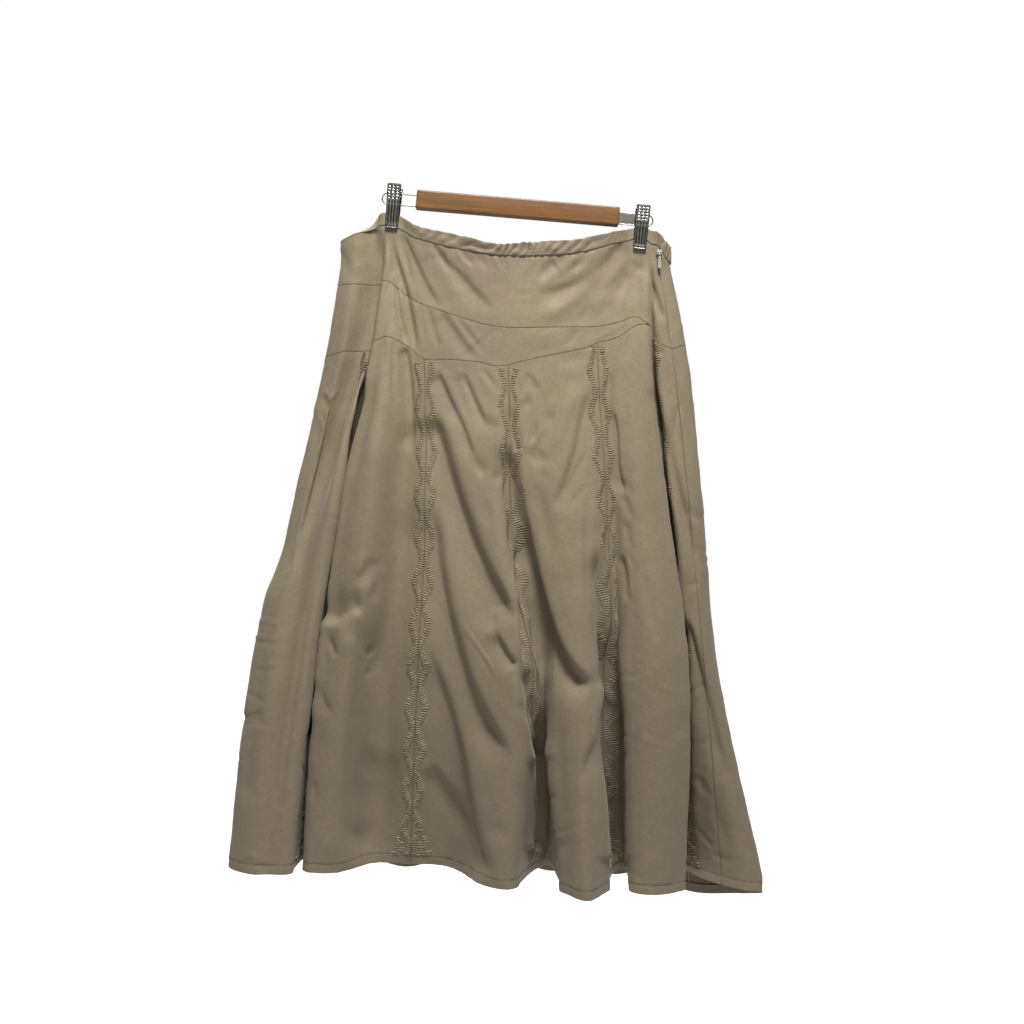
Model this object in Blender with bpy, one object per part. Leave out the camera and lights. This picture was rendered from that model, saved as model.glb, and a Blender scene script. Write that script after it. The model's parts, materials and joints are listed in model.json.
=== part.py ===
"""A-line skirt of twelve flared gores, hung from a wooden clip hanger.

Metres, +Z up, +X to the viewer's right, +Y away from the viewer. The origin is the middle
of the top edge of the hanger's wooden bar, where the hanger is held. Tables are in
millimetres and are turned into metres by MM.

The cloth is one closed tube. A horizontal section through it is a smooth closed curve
through a row of fold lines, and each fold line runs down from the waist to the hem. Every
piece of the garment is a stretch of that tube between two fold lines and two sewn seams,
given the thickness of its cloth.
"""

import math

import bmesh
import bpy
import numpy as np
from mathutils import Vector

MM = 0.001

# ------------------------------------------------------------------ cloth sizes

CLOTH = 1.2 * MM
CASING = 2.6 * MM  # two layers of cloth over the elastic
TURNED_HEM = 2.1 * MM  # cloth folded up twice at the hem
HEM_DEPTH = 10 * MM
SEAM_GAP = 0.3 * MM

GATHERS_A_SIDE = 36  # ruches in the front casing, and as many in the back one
GATHER_RISE = 1.5 * MM
GATHER_SLANT = 0.45  # how far a ruche leans over the casing's height, in ruches
FLAT_ENDS = 2.0  # ruches over which a casing flattens at its ends
ZIP_V = 3.5 * MM  # how far each casing's top corner stands back from the open zip

GORE_ROWS = tuple(np.linspace(0, 1, 12))
YOKE_ROWS = (0, 0.16, 0.55, 1)  # places of the rows of points, top to bottom
HIP_BAND_ROWS = (0, 0.5, 1)
COLUMN_WIDTH = 18 * MM  # widest stretch of hem between two columns of points
TIP_HEIGHT = 1.5 * MM  # the hip band ends where it is narrower than this

# Heights at which the fold table gives each line's place.
LEVELS = {"waist": -75, "hip": -180, "thigh": -340, "knee": -540, "hem": -790}

# One row for each crest and valley, from the left side round the front, the right side and
# the back. x at the five levels, then y at the five levels; a crest on the front has the
# lowest y, and a crest on the back the highest.
FOLD_COLUMNS = ("waist", "hip", "thigh", "knee", "hem")
FOLD_LINES = (
    # name                x waist  hip thigh knee  hem   y waist hip thigh knee hem
    ("left_side_turn",    (-205, -223, -264, -308, -335), (6, 8, 6, 2, -6)),
    ("left_panel_crest",  (-188, -204, -241, -285, -308), (-5, -10, -18, -26, -24)),
    ("left_trough",       (-163, -183, -228, -264, -285), (3, -2, -10, -28, -26)),
    ("left_inner_crest",  (-159, -173, -210, -241, -266), (3, -6, -22, -34, -22)),
    ("left_fold_valley",  (-156, -169, -202, -231, -256), (3, 4, 6, 16, 36)),
    ("front_left_edge",   (-152, -164, -193, -220, -240), (-2, -10, -24, -24, -10)),
    ("panel_a_crest",     (-145, -150, -168, -191, -213), (-2, -20, -38, -40, -4)),
    ("panel_a_trough",    (-134, -125, -130, -143, -170), (-3, -9, -16, -8, 40)),
    ("seam_a",            (-120, -108, -107, -115, -129), (-6, -12, -22, -14, 48)),
    ("panel_b_left",      (-88, -79, -81, -87, -88), (-10, -16, -26, -22, 46)),
    ("panel_b_crest",     (-55, -46, -41, -41, -44), (-12, -18, -32, -34, -14)),
    ("panel_b_edge",      (-30, -26, -16, -3, -14), (-12, -20, -36, -46, -26)),
    ("seam_b",            (-12, -12, -5, 17, 20), (-13, -20, -30, -26, 50)),
    ("valley_b",          (2, 2, 6, 27, 37), (-13, -20, -28, -10, 72)),
    ("panel_c_left",      (22, 24, 24, 37, 56), (-13, -20, -32, -32, -28)),
    ("panel_c_crest",     (50, 54, 55, 66, 75), (-12, -20, -36, -48, -48)),
    ("panel_c_right",     (77, 79, 87, 94, 97), (-10, -18, -30, -36, -18)),
    ("seam_c",            (95, 90, 99, 107, 115), (-9, -17, -24, -8, 60)),
    ("valley_c",          (108, 102, 107, 116, 130), (-8, -16, -22, -4, 76)),
    ("panel_d_left",      (123, 115, 118, 126, 134), (-5, -18, -28, -30, -8)),
    ("panel_d_crest",     (137, 132, 137, 153, 157), (-2, -16, -34, -40, -12)),
    ("panel_d_edge",      (147, 146, 161, 186, 187), (-2, -10, -20, -24, 8)),
    ("right_fold_valley", (152, 153, 168, 195, 204), (2, 4, 4, 20, 84)),
    ("right_panel_inner", (156, 163, 177, 201, 222), (0, -2, -4, 0, 62)),
    ("zip_seam",          (162, 177, 194, 213, 242), (1, -2, -6, -4, 44)),
    ("right_side_crest",  (170, 189, 206, 223, 270), (3, 3, 0, 2, 28)),
    ("right_side_turn",   (176, 196, 213, 232, 288), (9, 12, 14, 18, 34)),
    ("back_right_crest",  (168, 182, 196, 218, 264), (14, 26, 44, 70, 98)),
    ("back_right_valley", (150, 158, 168, 184, 212), (7, 20, 34, 52, 104)),
    ("back_crest_2",      (128, 130, 134, 144, 160), (8, 27, 46, 76, 128)),
    ("back_valley_2",     (98, 98, 102, 108, 118), (12, 20, 34, 46, 98)),
    ("back_crest_3",      (66, 66, 68, 72, 80), (14, 26, 46, 72, 124)),
    ("back_valley_3",     (32, 34, 34, 36, 40), (13, 20, 32, 44, 94)),
    ("back_centre_crest", (0, 0, -2, -2, -4), (15, 25, 42, 68, 122)),
    ("back_valley_4",     (-34, -32, -36, -42, -46), (13, 19, 30, 40, 78)),
    ("back_crest_5",      (-66, -66, -72, -82, -92), (14, 25, 44, 68, 116)),
    ("back_valley_5",     (-98, -100, -110, -124, -138), (11, 19, 30, 44, 82)),
    ("back_crest_6",      (-126, -134, -148, -168, -188), (7, 23, 40, 64, 108)),
    ("back_valley_6",     (-150, -162, -184, -210, -234), (8, 19, 30, 48, 76)),
    ("back_left_crest",   (-180, -196, -230, -270, -300), (15, 23, 34, 48, 68)),
)

# Heights of the sewn seams on some of the fold lines, the casing's height and how far it
# leans back from upright. The lines between follow smoothly.
SEAM_ROWS = (
    # line               casing  yoke   hip   hem  casing  lean
    # name                 seam  seam  seam  edge  height  degrees
    ("left_side_turn",      -49,  -99, -183, -765, 16, 74),
    ("left_panel_crest",    -42,  -99, -177, -768, 16, 74),
    ("left_trough",         -34,  -98, -175, -768, 16, 45),
    ("left_fold_valley",    -31,  -97, -172, -770, 16, 5),
    ("front_left_edge",     -31,  -96, -167, -770, 16, 0),
    ("panel_a_crest",       -32,  -98, -161, -773, 17, 0),
    ("panel_a_trough",      -37, -110, -172, -775, 17, 0),
    ("seam_a",              -46, -121, -186, -778, 16, 0),
    ("panel_b_left",        -56, -133, -187, -781, 17, 0),
    ("panel_b_crest",       -63, -144, -190, -783, 16, 0),
    ("panel_b_edge",        -67, -149, -195, -785, 14, 0),
    ("valley_b",            -69, -151, -190, -788, 16, 0),
    ("panel_c_crest",       -67, -150, -179, -791, 17, 0),
    ("seam_c",              -58, -149, -168, -793, 16, 0),
    ("panel_d_left",        -50, -143, -160, -795, 15, 0),
    ("panel_d_crest",       -46, -137, -148, -796, 14, 0),
    ("panel_d_edge",        -48, -146, -147, -798, 15, 0),
    ("right_fold_valley",   -52, -157, -157, -799, 17, 0),
    ("zip_seam",            -56, -172, -172, -803, 18, 0),
    ("right_side_crest",    -68, -169, -169, -805, 21, 0),
    ("right_side_turn",     -74, -166, -166, -809, 21, 0),
    ("back_right_crest",    -68, -167, -167, -831, 20, 0),
    ("back_right_valley",   -52, -166, -168, -830, 18, 0),
    ("back_crest_2",        -50, -164, -174, -814, 17, 0),
    ("back_valley_3",       -70, -154, -184, -802, 16, 0),
    ("back_valley_4",       -72, -140, -190, -797, 16, 0),
    ("back_valley_5",       -58, -118, -188, -793, 16, 0),
    ("back_crest_6",        -41, -108, -184, -790, 16, 0),
    ("back_valley_6",       -33, -102, -178, -786, 16, 50),
    ("back_left_crest",     -42, -100, -181, -772, 16, 72),
)

# Cloth pieces below the casing: name, first fold line, last fold line.
FRONT_EDGES = ("back_left_crest", "zip_seam")
BACK_EDGES = ("zip_seam", "back_left_crest")
GORES = (
    ("gore_side_left", "back_left_crest", "left_fold_valley"),
    ("gore_front_1", "left_fold_valley", "seam_a"),
    ("gore_front_2", "seam_a", "seam_b"),
    ("gore_front_3", "seam_b", "seam_c"),
    ("gore_front_4", "seam_c", "right_fold_valley"),
    ("gore_side_right", "right_fold_valley", "zip_seam"),
    ("gore_back_1", "zip_seam", "back_right_valley"),
    ("gore_back_2", "back_right_valley", "back_valley_2"),
    ("gore_back_3", "back_valley_2", "back_centre_crest"),
    ("gore_back_4", "back_centre_crest", "back_valley_5"),
    ("gore_back_5", "back_valley_5", "back_valley_6"),
    ("gore_back_6", "back_valley_6", "back_left_crest"),
)

# ------------------------------------------------------------------ hanger sizes
# The hanger's own frame: x along the bar, z up across it, origin at its top middle.

HANGER_ROLL = math.radians(4.87)  # the bar's left end is the higher one
BAR_LENGTH = 234 * MM
BAR_HEIGHT = 21.5 * MM
BAR_DEPTH = 12 * MM
BAR_ROUND = 2 * MM
WIRE_THICK = 1.5 * MM
WIRE_HIGH = -5.6 * MM
WIRE_LOW = -18.4 * MM
WIRE_REACH = 157 * MM  # middle of the bar to the outside of each wire loop
CLIP_LEFT_X = -142.5 * MM
CLIP_RIGHT_X = 143.5 * MM
JAW_WIDTH = 16 * MM
JAW_TOP = 6 * MM
JAW_FOOT = -45.5 * MM
JAW_METAL = 1.2 * MM
GRIP = 3.1 * MM  # from the cloth's middle plane to each jaw
JAW_RIB = 0.7 * MM
SPRING_RADIUS = 5.3 * MM
SPRING_LENGTH = 12 * MM
PLATE_THICK = 1.0 * MM

# Inner face of a jaw: height and how far it stands from the middle plane.
JAW_PROFILE = (
    (6.0, 9.4), (4.2, 9.1), (2.4, 8.8), (0.6, 8.4), (-1.2, 8.0), (-3.0, 7.6), (-4.8, 7.2),
    (-6.6, 6.9), (-8.4, 6.5), (-12.0, 5.7), (-17.0, 4.6), (-20.5, 3.1), (-43.0, 3.1),
    (-44.2, 3.6), (-45.5, 4.8),
)
KNURL_ROWS = 9  # rows of the profile that carry the knurled finger grip
FLUTE_ROWS = range(10, 13)  # rows that carry the upright flutes
FLUTE_COLUMNS = 9

# ------------------------------------------------------------------ zip sizes

SLIDER = (7.0 * MM, 2.2 * MM, 5.5 * MM)  # across, thick, tall
SLIDER_Z = -61 * MM
BRIDGE_WIDE = 1.6 * MM
LUG_HOLE = 1.6 * MM
LUG_METAL = 0.5 * MM
LINK_WIRE = 0.9 * MM
LINK_WIDE = 4.4 * MM
LINK_TALL = 7.6 * MM
LINK_CORNER = 0.6 * MM
CURL_WIDE = 1.8 * MM
TAB_WIDE = 3.6 * MM
TAB_TALL = 12.0 * MM
TAB_THICK = 0.8 * MM


# ------------------------------------------------------------------ curves and sections

def hermite(a, b, slope_a, slope_b, s):
    """Cubic from a to b with the given slopes over the unit stretch, at s."""
    s2 = s * s
    s3 = s2 * s
    return (
        (2 * s3 - 3 * s2 + 1) * a
        + (s3 - 2 * s2 + s) * slope_a
        + (3 * s2 - 2 * s3) * b
        + (s3 - s2) * slope_b
    )


def smooth_through(knots, values, at):
    """Smooth curve through values (one row per knot), read at the places in at."""
    knots = np.asarray(knots, float)
    values = np.asarray(values, float)
    steps = np.diff(knots)
    grades = np.diff(values, axis=0) / steps.reshape(-1, *[1] * (values.ndim - 1))
    slopes = np.concatenate([grades[:1], (grades[1:] + grades[:-1]) / 2, grades[-1:]])
    at = np.clip(at, knots[0], knots[-1])
    k = np.clip(np.searchsorted(knots, at, side="right") - 1, 0, len(steps) - 1)
    s = (at - knots[k]) / steps[k]
    widen = (slice(None),) * np.ndim(at) + (None,) * (values.ndim - 1)
    s, step = s[widen], steps[k][widen]
    return hermite(values[k], values[k + 1], slopes[k] * step, slopes[k + 1] * step, s)


LINE_NAMES = [row[0] for row in FOLD_LINES]
LINE_COUNT = len(FOLD_LINES)
LINE_AT = {name: i for i, name in enumerate(LINE_NAMES)}
LAST_FRONT_LINE = LINE_AT["right_side_turn"]

# (level, line, x or y), from the hem up, because smooth_through wants rising knots
LEVEL_HEIGHTS = np.array([LEVELS[name] for name in reversed(FOLD_COLUMNS)]) * MM
LEVEL_PLACES = np.array([row[1:3] for row in FOLD_LINES], float).transpose(2, 0, 1)[::-1] * MM


def section_points(u, z):
    """Places on the closed section at height z, u counted in fold lines. Same shapes."""
    lines = smooth_through(LEVEL_HEIGHTS, LEVEL_PLACES, z)
    k = np.floor(u).astype(int)
    s = (u - k)[..., None]
    near = [
        np.take_along_axis(lines, ((k + i) % LINE_COUNT)[..., None, None], axis=-2)[..., 0, :]
        for i in (-1, 0, 1, 2)
    ]
    before, start, end, after = near
    # centripetal spacing, which never makes a loop between two fold lines
    gaps = [np.sqrt(np.linalg.norm(b - a, axis=-1, keepdims=True) + 1e-9)
            for a, b in zip(near, near[1:])]
    grades = [(b - a) / gap for a, b, gap in zip(near, near[1:], gaps)]
    slope_start = grades[0] - (end - before) / (gaps[0] + gaps[1]) + grades[1]
    slope_end = grades[1] - (after - start) / (gaps[1] + gaps[2]) + grades[2]
    return hermite(start, end, slope_start * gaps[1], slope_end * gaps[1], s)


def hanger_place(x, z):
    """Height and place along the bar, in the hanger's own frame, of a point of the row."""
    cos, sin = math.cos(HANGER_ROLL), math.sin(HANGER_ROLL)
    return x * cos - z * sin, x * sin + z * cos


def pinch_weight(x, z):
    """1 where a clip holds the cloth flat, fading out beside and below the jaws."""
    along, up = hanger_place(x, z)
    weight = 0
    for clip_x in (CLIP_LEFT_X, CLIP_RIGHT_X):
        beside = np.maximum(np.abs(along - clip_x) - JAW_WIDTH / 2 - 1 * MM, 0)
        below = np.maximum(JAW_FOOT - 1 * MM - up, 0)
        weight = np.maximum(weight, np.exp(-((beside / (9 * MM)) ** 2 + (below / (26 * MM)) ** 2)))
    return weight


def cloth(u, z):
    """The cloth's middle surface: an array of points with u fold lines, at height z."""
    u = np.mod(u, LINE_COUNT)
    flat = section_points(u, z)
    x, y = flat[..., 0], flat[..., 1]
    side = np.where(u < LAST_FRONT_LINE + 0.5, -1.0, 1.0)
    weight = pinch_weight(x, z)
    y = y * (1 - weight) + side * (CASING / 2 + 0.2 * MM) * weight
    return np.stack([x, y, z], axis=-1)


def outward(u, z):
    """Unit normals of the cloth, pointing out of the skirt."""
    du, dz = 0.02, 0.5 * MM
    along = cloth(u + du, z) - cloth(u - du, z)
    up = cloth(u, z + dz) - cloth(u, z - dz)
    normal = np.cross(along, up)
    return normal / np.linalg.norm(normal, axis=-1, keepdims=True)


# ------------------------------------------------------------------ seams and columns

SEAM_KNOTS = [LINE_AT[row[0]] for row in SEAM_ROWS] + [LINE_COUNT]
SEAM_VALUES = np.array([row[1:] for row in SEAM_ROWS] + [SEAM_ROWS[0][1:]], float)
CASING_SEAM, YOKE_SEAM, HIP_SEAM, HEM_EDGE, CASING_HEIGHT, CASING_LEAN = range(6)


def seam(which, u):
    """Height in metres (or the lean in degrees) of a column of the seam table."""
    values = smooth_through(SEAM_KNOTS, SEAM_VALUES[:, which], np.mod(u, LINE_COUNT))
    return values if which == CASING_LEAN else values * MM


def columns_between(first, last):
    """Columns of points from one fold line to another, closest where the hem is longest."""
    start, stop = LINE_AT[first], LINE_AT[last]
    if stop <= start:
        stop += LINE_COUNT
    places = []
    for k in range(start, stop):
        hem_a, hem_b = LEVEL_PLACES[0, k % LINE_COUNT], LEVEL_PLACES[0, (k + 1) % LINE_COUNT]
        count = max(1, round(float(np.linalg.norm(hem_b - hem_a)) / COLUMN_WIDTH))
        places.extend(k + np.arange(count) / count)
    return np.array(places + [stop], float)


def drawn_in(grid, rows=(True, True), columns=(True, True)):
    """Pulls the edges of a grid of points in by half a seam's gap."""
    grid = grid.copy()
    for at_edge, edge, inner in ((rows[0], 0, 1), (rows[1], -1, -2)):
        if at_edge:
            step = grid[inner] - grid[edge]
            grid[edge] += step * (SEAM_GAP / 2 / np.linalg.norm(step, axis=-1, keepdims=True))
    for at_edge, edge, inner in ((columns[0], 0, 1), (columns[1], -1, -2)):
        if at_edge:
            step = grid[:, inner] - grid[:, edge]
            grid[:, edge] += step * (SEAM_GAP / 2 / np.linalg.norm(step, axis=-1, keepdims=True))
    return grid


# ------------------------------------------------------------------ meshes

def new_object(name, points, faces, material, smooth=True):
    mesh = bpy.data.meshes.new(name)
    mesh.from_pydata([tuple(p) for p in points], [], faces)
    mesh.materials.append(material)
    mesh.update()
    if smooth:
        mesh.shade_smooth()
        mesh.set_sharp_from_angle(angle=math.radians(50))
    thing = bpy.data.objects.new(name, mesh)
    bpy.context.scene.collection.objects.link(thing)
    return thing


def wall(name, outer, inner, material):
    """A closed sheet from two grids of points, rows from top to bottom, columns along +u."""
    rows, columns = outer.shape[:2]
    back = rows * columns

    def at(layer, row, column):
        return layer * back + row * columns + column

    faces = []
    for r in range(rows - 1):
        for c in range(columns - 1):
            faces.append((at(0, r, c), at(0, r + 1, c), at(0, r + 1, c + 1), at(0, r, c + 1)))
            faces.append((at(1, r, c), at(1, r, c + 1), at(1, r + 1, c + 1), at(1, r + 1, c)))
    for c in range(columns - 1):
        low = rows - 1
        faces.append((at(0, 0, c), at(0, 0, c + 1), at(1, 0, c + 1), at(1, 0, c)))
        faces.append((at(0, low, c), at(1, low, c), at(1, low, c + 1), at(0, low, c + 1)))
    for r in range(rows - 1):
        end = columns - 1
        faces.append((at(0, r, 0), at(1, r, 0), at(1, r + 1, 0), at(0, r + 1, 0)))
        faces.append((at(0, r, end), at(0, r + 1, end), at(1, r + 1, end), at(1, r, end)))
    points = np.concatenate([outer.reshape(-1, 3), inner.reshape(-1, 3)])
    return new_object(name, points, faces, material)


def tube(name, path, radius, sides, material, closed=False):
    """A round wire along a list of points that lie in one upright plane, y across it."""
    path = np.asarray(path, float)
    if closed:
        along = np.roll(path, -1, axis=0) - np.roll(path, 1, axis=0)
    else:
        along = np.gradient(path, axis=0)
    along /= np.linalg.norm(along, axis=1, keepdims=True)
    across = np.array([0.0, 1.0, 0.0])
    third = np.cross(along, across)
    turns = np.arange(sides) * 2 * math.pi / sides
    rings = (
        path[:, None]
        + radius * np.cos(turns)[None, :, None] * across
        + radius * np.sin(turns)[None, :, None] * third[:, None]
    )
    count = len(path)
    faces = []
    for i in range(count if closed else count - 1):
        for j in range(sides):
            a, b = i * sides, ((i + 1) % count) * sides
            k = (j + 1) % sides
            faces.append((a + j, a + k, b + k, b + j))
    if not closed:
        faces.append(tuple(reversed(range(sides))))
        faces.append(tuple(range((count - 1) * sides, count * sides)))
    thing = new_object(name, rings.reshape(-1, 3), faces, material)
    fix_normals(thing)
    return thing


def fix_normals(thing):
    made = bmesh.new()
    made.from_mesh(thing.data)
    bmesh.ops.recalc_face_normals(made, faces=made.faces)
    made.to_mesh(thing.data)
    made.free()


def box(name, low, high, material, round_edges=0.0, segments=2):
    made = bmesh.new()
    bmesh.ops.create_cube(made, size=1.0)
    middle = (Vector(low) + Vector(high)) / 2
    size = Vector(high) - Vector(low)
    bmesh.ops.scale(made, vec=size, verts=made.verts)
    bmesh.ops.translate(made, vec=middle, verts=made.verts)
    mesh = bpy.data.meshes.new(name)
    made.to_mesh(mesh)
    made.free()
    mesh.materials.append(material)
    thing = bpy.data.objects.new(name, mesh)
    bpy.context.scene.collection.objects.link(thing)
    if round_edges:
        bevel = thing.modifiers.new("rounded edges", "BEVEL")
        bevel.width = round_edges
        bevel.segments = segments
        mesh.shade_smooth()
        mesh.set_sharp_from_angle(angle=math.radians(40))
    return thing


def material(name, colour, roughness, metallic=0.0):
    made = bpy.data.materials.new(name)
    made.use_nodes = True
    shader = made.node_tree.nodes["Principled BSDF"]
    shader.inputs["Base Color"].default_value = (*colour, 1.0)
    shader.inputs["Roughness"].default_value = roughness
    shader.inputs["Metallic"].default_value = metallic
    return made


# ------------------------------------------------------------------ the garment

def panel(name, first, last, top, bottom, rows, fabric, hem=False, keep=None):
    """A flat-sewn piece between two fold lines and two seams."""
    u = columns_between(first, last)
    if keep is not None:
        u = u[keep(u)]
    high, low = top(u), bottom(u)
    if hem:
        z = high + (low + HEM_DEPTH - high) * np.array(rows)[:, None]
        z = np.concatenate([z, (z[-1:] - 0.5 * MM), low[None]])
        extra = np.zeros(len(z))
        extra[-2:] = TURNED_HEM - CLOTH
    else:
        z = high + (low - high) * np.array(rows)[:, None]
        extra = np.zeros(len(z))
    u = np.broadcast_to(u, z.shape)
    middle = drawn_in(cloth(u, z), rows=(True, not hem))
    normal = outward(u, z)
    outer = middle + normal * (CLOTH / 2)
    inner = middle - normal * (CLOTH / 2 + extra[:, None, None])
    return wall(name, outer, inner, fabric)


def gather_wave(u, first, last, up):
    """0 to 1 over each ruche of a casing; up is 0 at its seam and 1 at its top edge."""
    turn = (u - first) / (last - first) * GATHERS_A_SIDE
    from_end = np.minimum(turn, GATHERS_A_SIDE - turn) / FLAT_ENDS
    wave = 0.5 - 0.5 * np.cos(2 * math.pi * (turn + GATHER_SLANT * up))
    return wave * np.clip(from_end, 0, 1)


def casing(name, first, last, fabric):
    """The ruched elastic casing, from the yoke's top seam up to the waist's edge."""
    start, stop = LINE_AT[first], LINE_AT[last]
    if stop <= start:
        stop += LINE_COUNT
    u = np.linspace(start, stop, GATHERS_A_SIDE * 3 + 1)
    base_z = seam(CASING_SEAM, u)
    base = cloth(u, base_z)
    normal = outward(u, base_z)
    held = pinch_weight(base[:, 0], base_z)
    lean = np.radians(seam(CASING_LEAN, u)) * (1 - held)
    height = seam(CASING_HEIGHT, u)
    rise = np.stack([np.zeros_like(u), np.sin(lean), np.cos(lean)], axis=-1)
    # the face of the casing turns back with its lean
    face = normal - rise * np.sum(normal * rise, axis=-1, keepdims=True)
    face /= np.linalg.norm(face, axis=-1, keepdims=True)
    outer_rows, inner_rows = [], []
    clear = 2.5 * SEAM_GAP + CLOTH / 2 * np.sin(lean)
    turn = (u - start) / (stop - start) * GATHERS_A_SIDE
    zip_end = GATHERS_A_SIDE if last == "zip_seam" else 0
    apart = np.clip(1 - np.abs(turn - zip_end) / FLAT_ENDS, 0, 1) * (-1 if zip_end else 1)
    for up in (1.0, 0.0):
        middle = base + rise * (clear + (height - clear) * up)[:, None]
        middle[:, 0] += ZIP_V * apart * up
        wave = GATHER_RISE * gather_wave(u, start, stop, up) * (1 - held) ** 2
        outer_rows.append(middle + face * (CASING / 2 + wave)[:, None])
        inner_rows.append(middle - face * (CASING / 2 - wave / 2)[:, None])
    outer, inner = np.array(outer_rows), np.array(inner_rows)
    return wall(name, drawn_in(outer, rows=(False, True)), drawn_in(inner, rows=(False, True)),
                fabric)


def make_garment(fabric):
    casing("waistband_front", *FRONT_EDGES, fabric)
    casing("waistband_back", *BACK_EDGES, fabric)
    for side, edges in (("front", FRONT_EDGES), ("back", BACK_EDGES)):
        panel(
            f"yoke_{side}", *edges,
            lambda u: seam(CASING_SEAM, u), lambda u: seam(YOKE_SEAM, u), YOKE_ROWS, fabric,
        )
        panel(
            f"hip_band_{side}", *edges,
            lambda u: seam(YOKE_SEAM, u), lambda u: seam(HIP_SEAM, u), HIP_BAND_ROWS, fabric,
            keep=lambda u: seam(YOKE_SEAM, u) - seam(HIP_SEAM, u) > TIP_HEIGHT,
        )
    for name, first, last in GORES:
        panel(
            name, first, last,
            lambda u: seam(HIP_SEAM, u), lambda u: seam(HEM_EDGE, u), GORE_ROWS, fabric,
            hem=True,
        )


# ------------------------------------------------------------------ the hanger

def jaw(name, clip_x, side, fluted, metal):
    """One pressed-metal jaw of a clip; side is -1 for the front jaw and 1 for the back."""
    columns = FLUTE_COLUMNS if fluted else 3
    x = clip_x + np.linspace(-JAW_WIDTH / 2, JAW_WIDTH / 2, columns)
    heights = np.array([row[0] for row in JAW_PROFILE]) * MM
    stands = np.array([row[1] for row in JAW_PROFILE]) * MM
    if not fluted:
        keep = [0, 6, 9, 10, 11, 12, 13, 14]
        heights, stands = heights[keep], stands[keep]
    rise = np.zeros((len(heights), columns))
    if fluted:
        rise[1:KNURL_ROWS:2, 1:-1] = JAW_RIB
        rise[min(FLUTE_ROWS):max(FLUTE_ROWS) + 1, 1:-1:2] = JAW_RIB
    inner = np.empty((len(heights), columns, 3))
    inner[..., 0] = x
    inner[..., 1] = side * stands[:, None]
    inner[..., 2] = heights[:, None]
    outer = inner.copy()
    outer[..., 1] += side * (JAW_METAL + rise)
    if side > 0:
        inner, outer = inner[:, ::-1], outer[:, ::-1]
    return wall(name, outer, inner, metal)


def wire_loop(name, side, metal):
    """The wire that slides out of one end of the bar: two runs and the bend that joins them."""
    middle = (WIRE_HIGH + WIRE_LOW) / 2
    radius = (WIRE_HIGH - WIRE_LOW) / 2
    bend_x = WIRE_REACH - WIRE_THICK / 2 - radius
    start_x = BAR_LENGTH / 2 + SEAM_GAP
    turns = np.linspace(math.pi / 2, -math.pi / 2, 9)
    path = [(side * start_x, 0, WIRE_HIGH)]
    path += [
        (side * (bend_x + radius * math.cos(t)), 0, middle + radius * math.sin(t)) for t in turns
    ]
    path += [(side * start_x, 0, WIRE_LOW)]
    return tube(name, path, WIRE_THICK / 2, 8, metal)


def make_hanger(wood, chrome, steel):
    frame = bpy.data.objects.new("hanger_frame", None)
    frame.rotation_euler = (0, HANGER_ROLL, 0)
    bpy.context.scene.collection.objects.link(frame)
    half_bar = BAR_LENGTH / 2
    pieces = [
        box("hanger_bar", (-half_bar, -BAR_DEPTH / 2, -BAR_HEIGHT),
            (half_bar, BAR_DEPTH / 2, 0), wood, BAR_ROUND),
        wire_loop("hanger_wire_left", -1, steel),
        wire_loop("hanger_wire_right", 1, steel),
    ]
    middle = (WIRE_HIGH + WIRE_LOW) / 2
    half_plate = (WIRE_HIGH - WIRE_LOW - WIRE_THICK) / 2 - SEAM_GAP
    spring_start = CLIP_RIGHT_X - SPRING_LENGTH / 2 - SEAM_GAP
    pieces.append(box(
        "hanger_plate_right",
        (half_bar + SEAM_GAP, -PLATE_THICK / 2, middle - half_plate),
        (spring_start, PLATE_THICK / 2, middle + half_plate), steel,
    ))
    for side_name, clip_x in (("left", CLIP_LEFT_X), ("right", CLIP_RIGHT_X)):
        pieces.append(jaw(f"clip_{side_name}_front", clip_x, -1, True, chrome))
        pieces.append(jaw(f"clip_{side_name}_back", clip_x, 1, False, chrome))
        half = SPRING_LENGTH / 2
        turns = np.arange(12) * math.pi / 6
        ring = np.stack([np.zeros(12), np.cos(turns), np.sin(turns)], axis=1) * SPRING_RADIUS
        ends = [ring + (clip_x + s * half, 0, middle) for s in (-1, 1)]
        faces = [(j, (j + 1) % 12, 12 + (j + 1) % 12, 12 + j) for j in range(12)]
        faces += [tuple(reversed(range(12))), tuple(range(12, 24))]
        spring = new_object(f"clip_{side_name}_spring", np.concatenate(ends), faces, steel)
        fix_normals(spring)
        pieces.append(spring)
    for piece in pieces:
        piece.parent = frame


# ------------------------------------------------------------------ the zip

def zip_front():
    """Where the slider sits: its x, and the y just in front of the cloth behind it."""
    u = LINE_AT["zip_seam"] + np.linspace(-1.5, 1.5, 31)[None]
    z = (SLIDER_Z + np.linspace(-LINK_TALL - TAB_TALL, SLIDER[2] / 2, 25))[:, None]
    u, z = np.broadcast_arrays(u, z)
    half = np.where(z > seam(CASING_SEAM, u) - SEAM_GAP, CASING / 2 + 0.3 * MM, CLOTH / 2)
    place = cloth(u, z) + outward(u, z) * half[..., None]
    slider_x = float(cloth(np.array(float(LINE_AT["zip_seam"])), np.array(SLIDER_Z))[0])
    near = np.abs(place[..., 0] - slider_x) < SLIDER[0] / 2 + 0.5 * MM
    return slider_x, float(place[..., 1][near].min()) - SEAM_GAP


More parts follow.
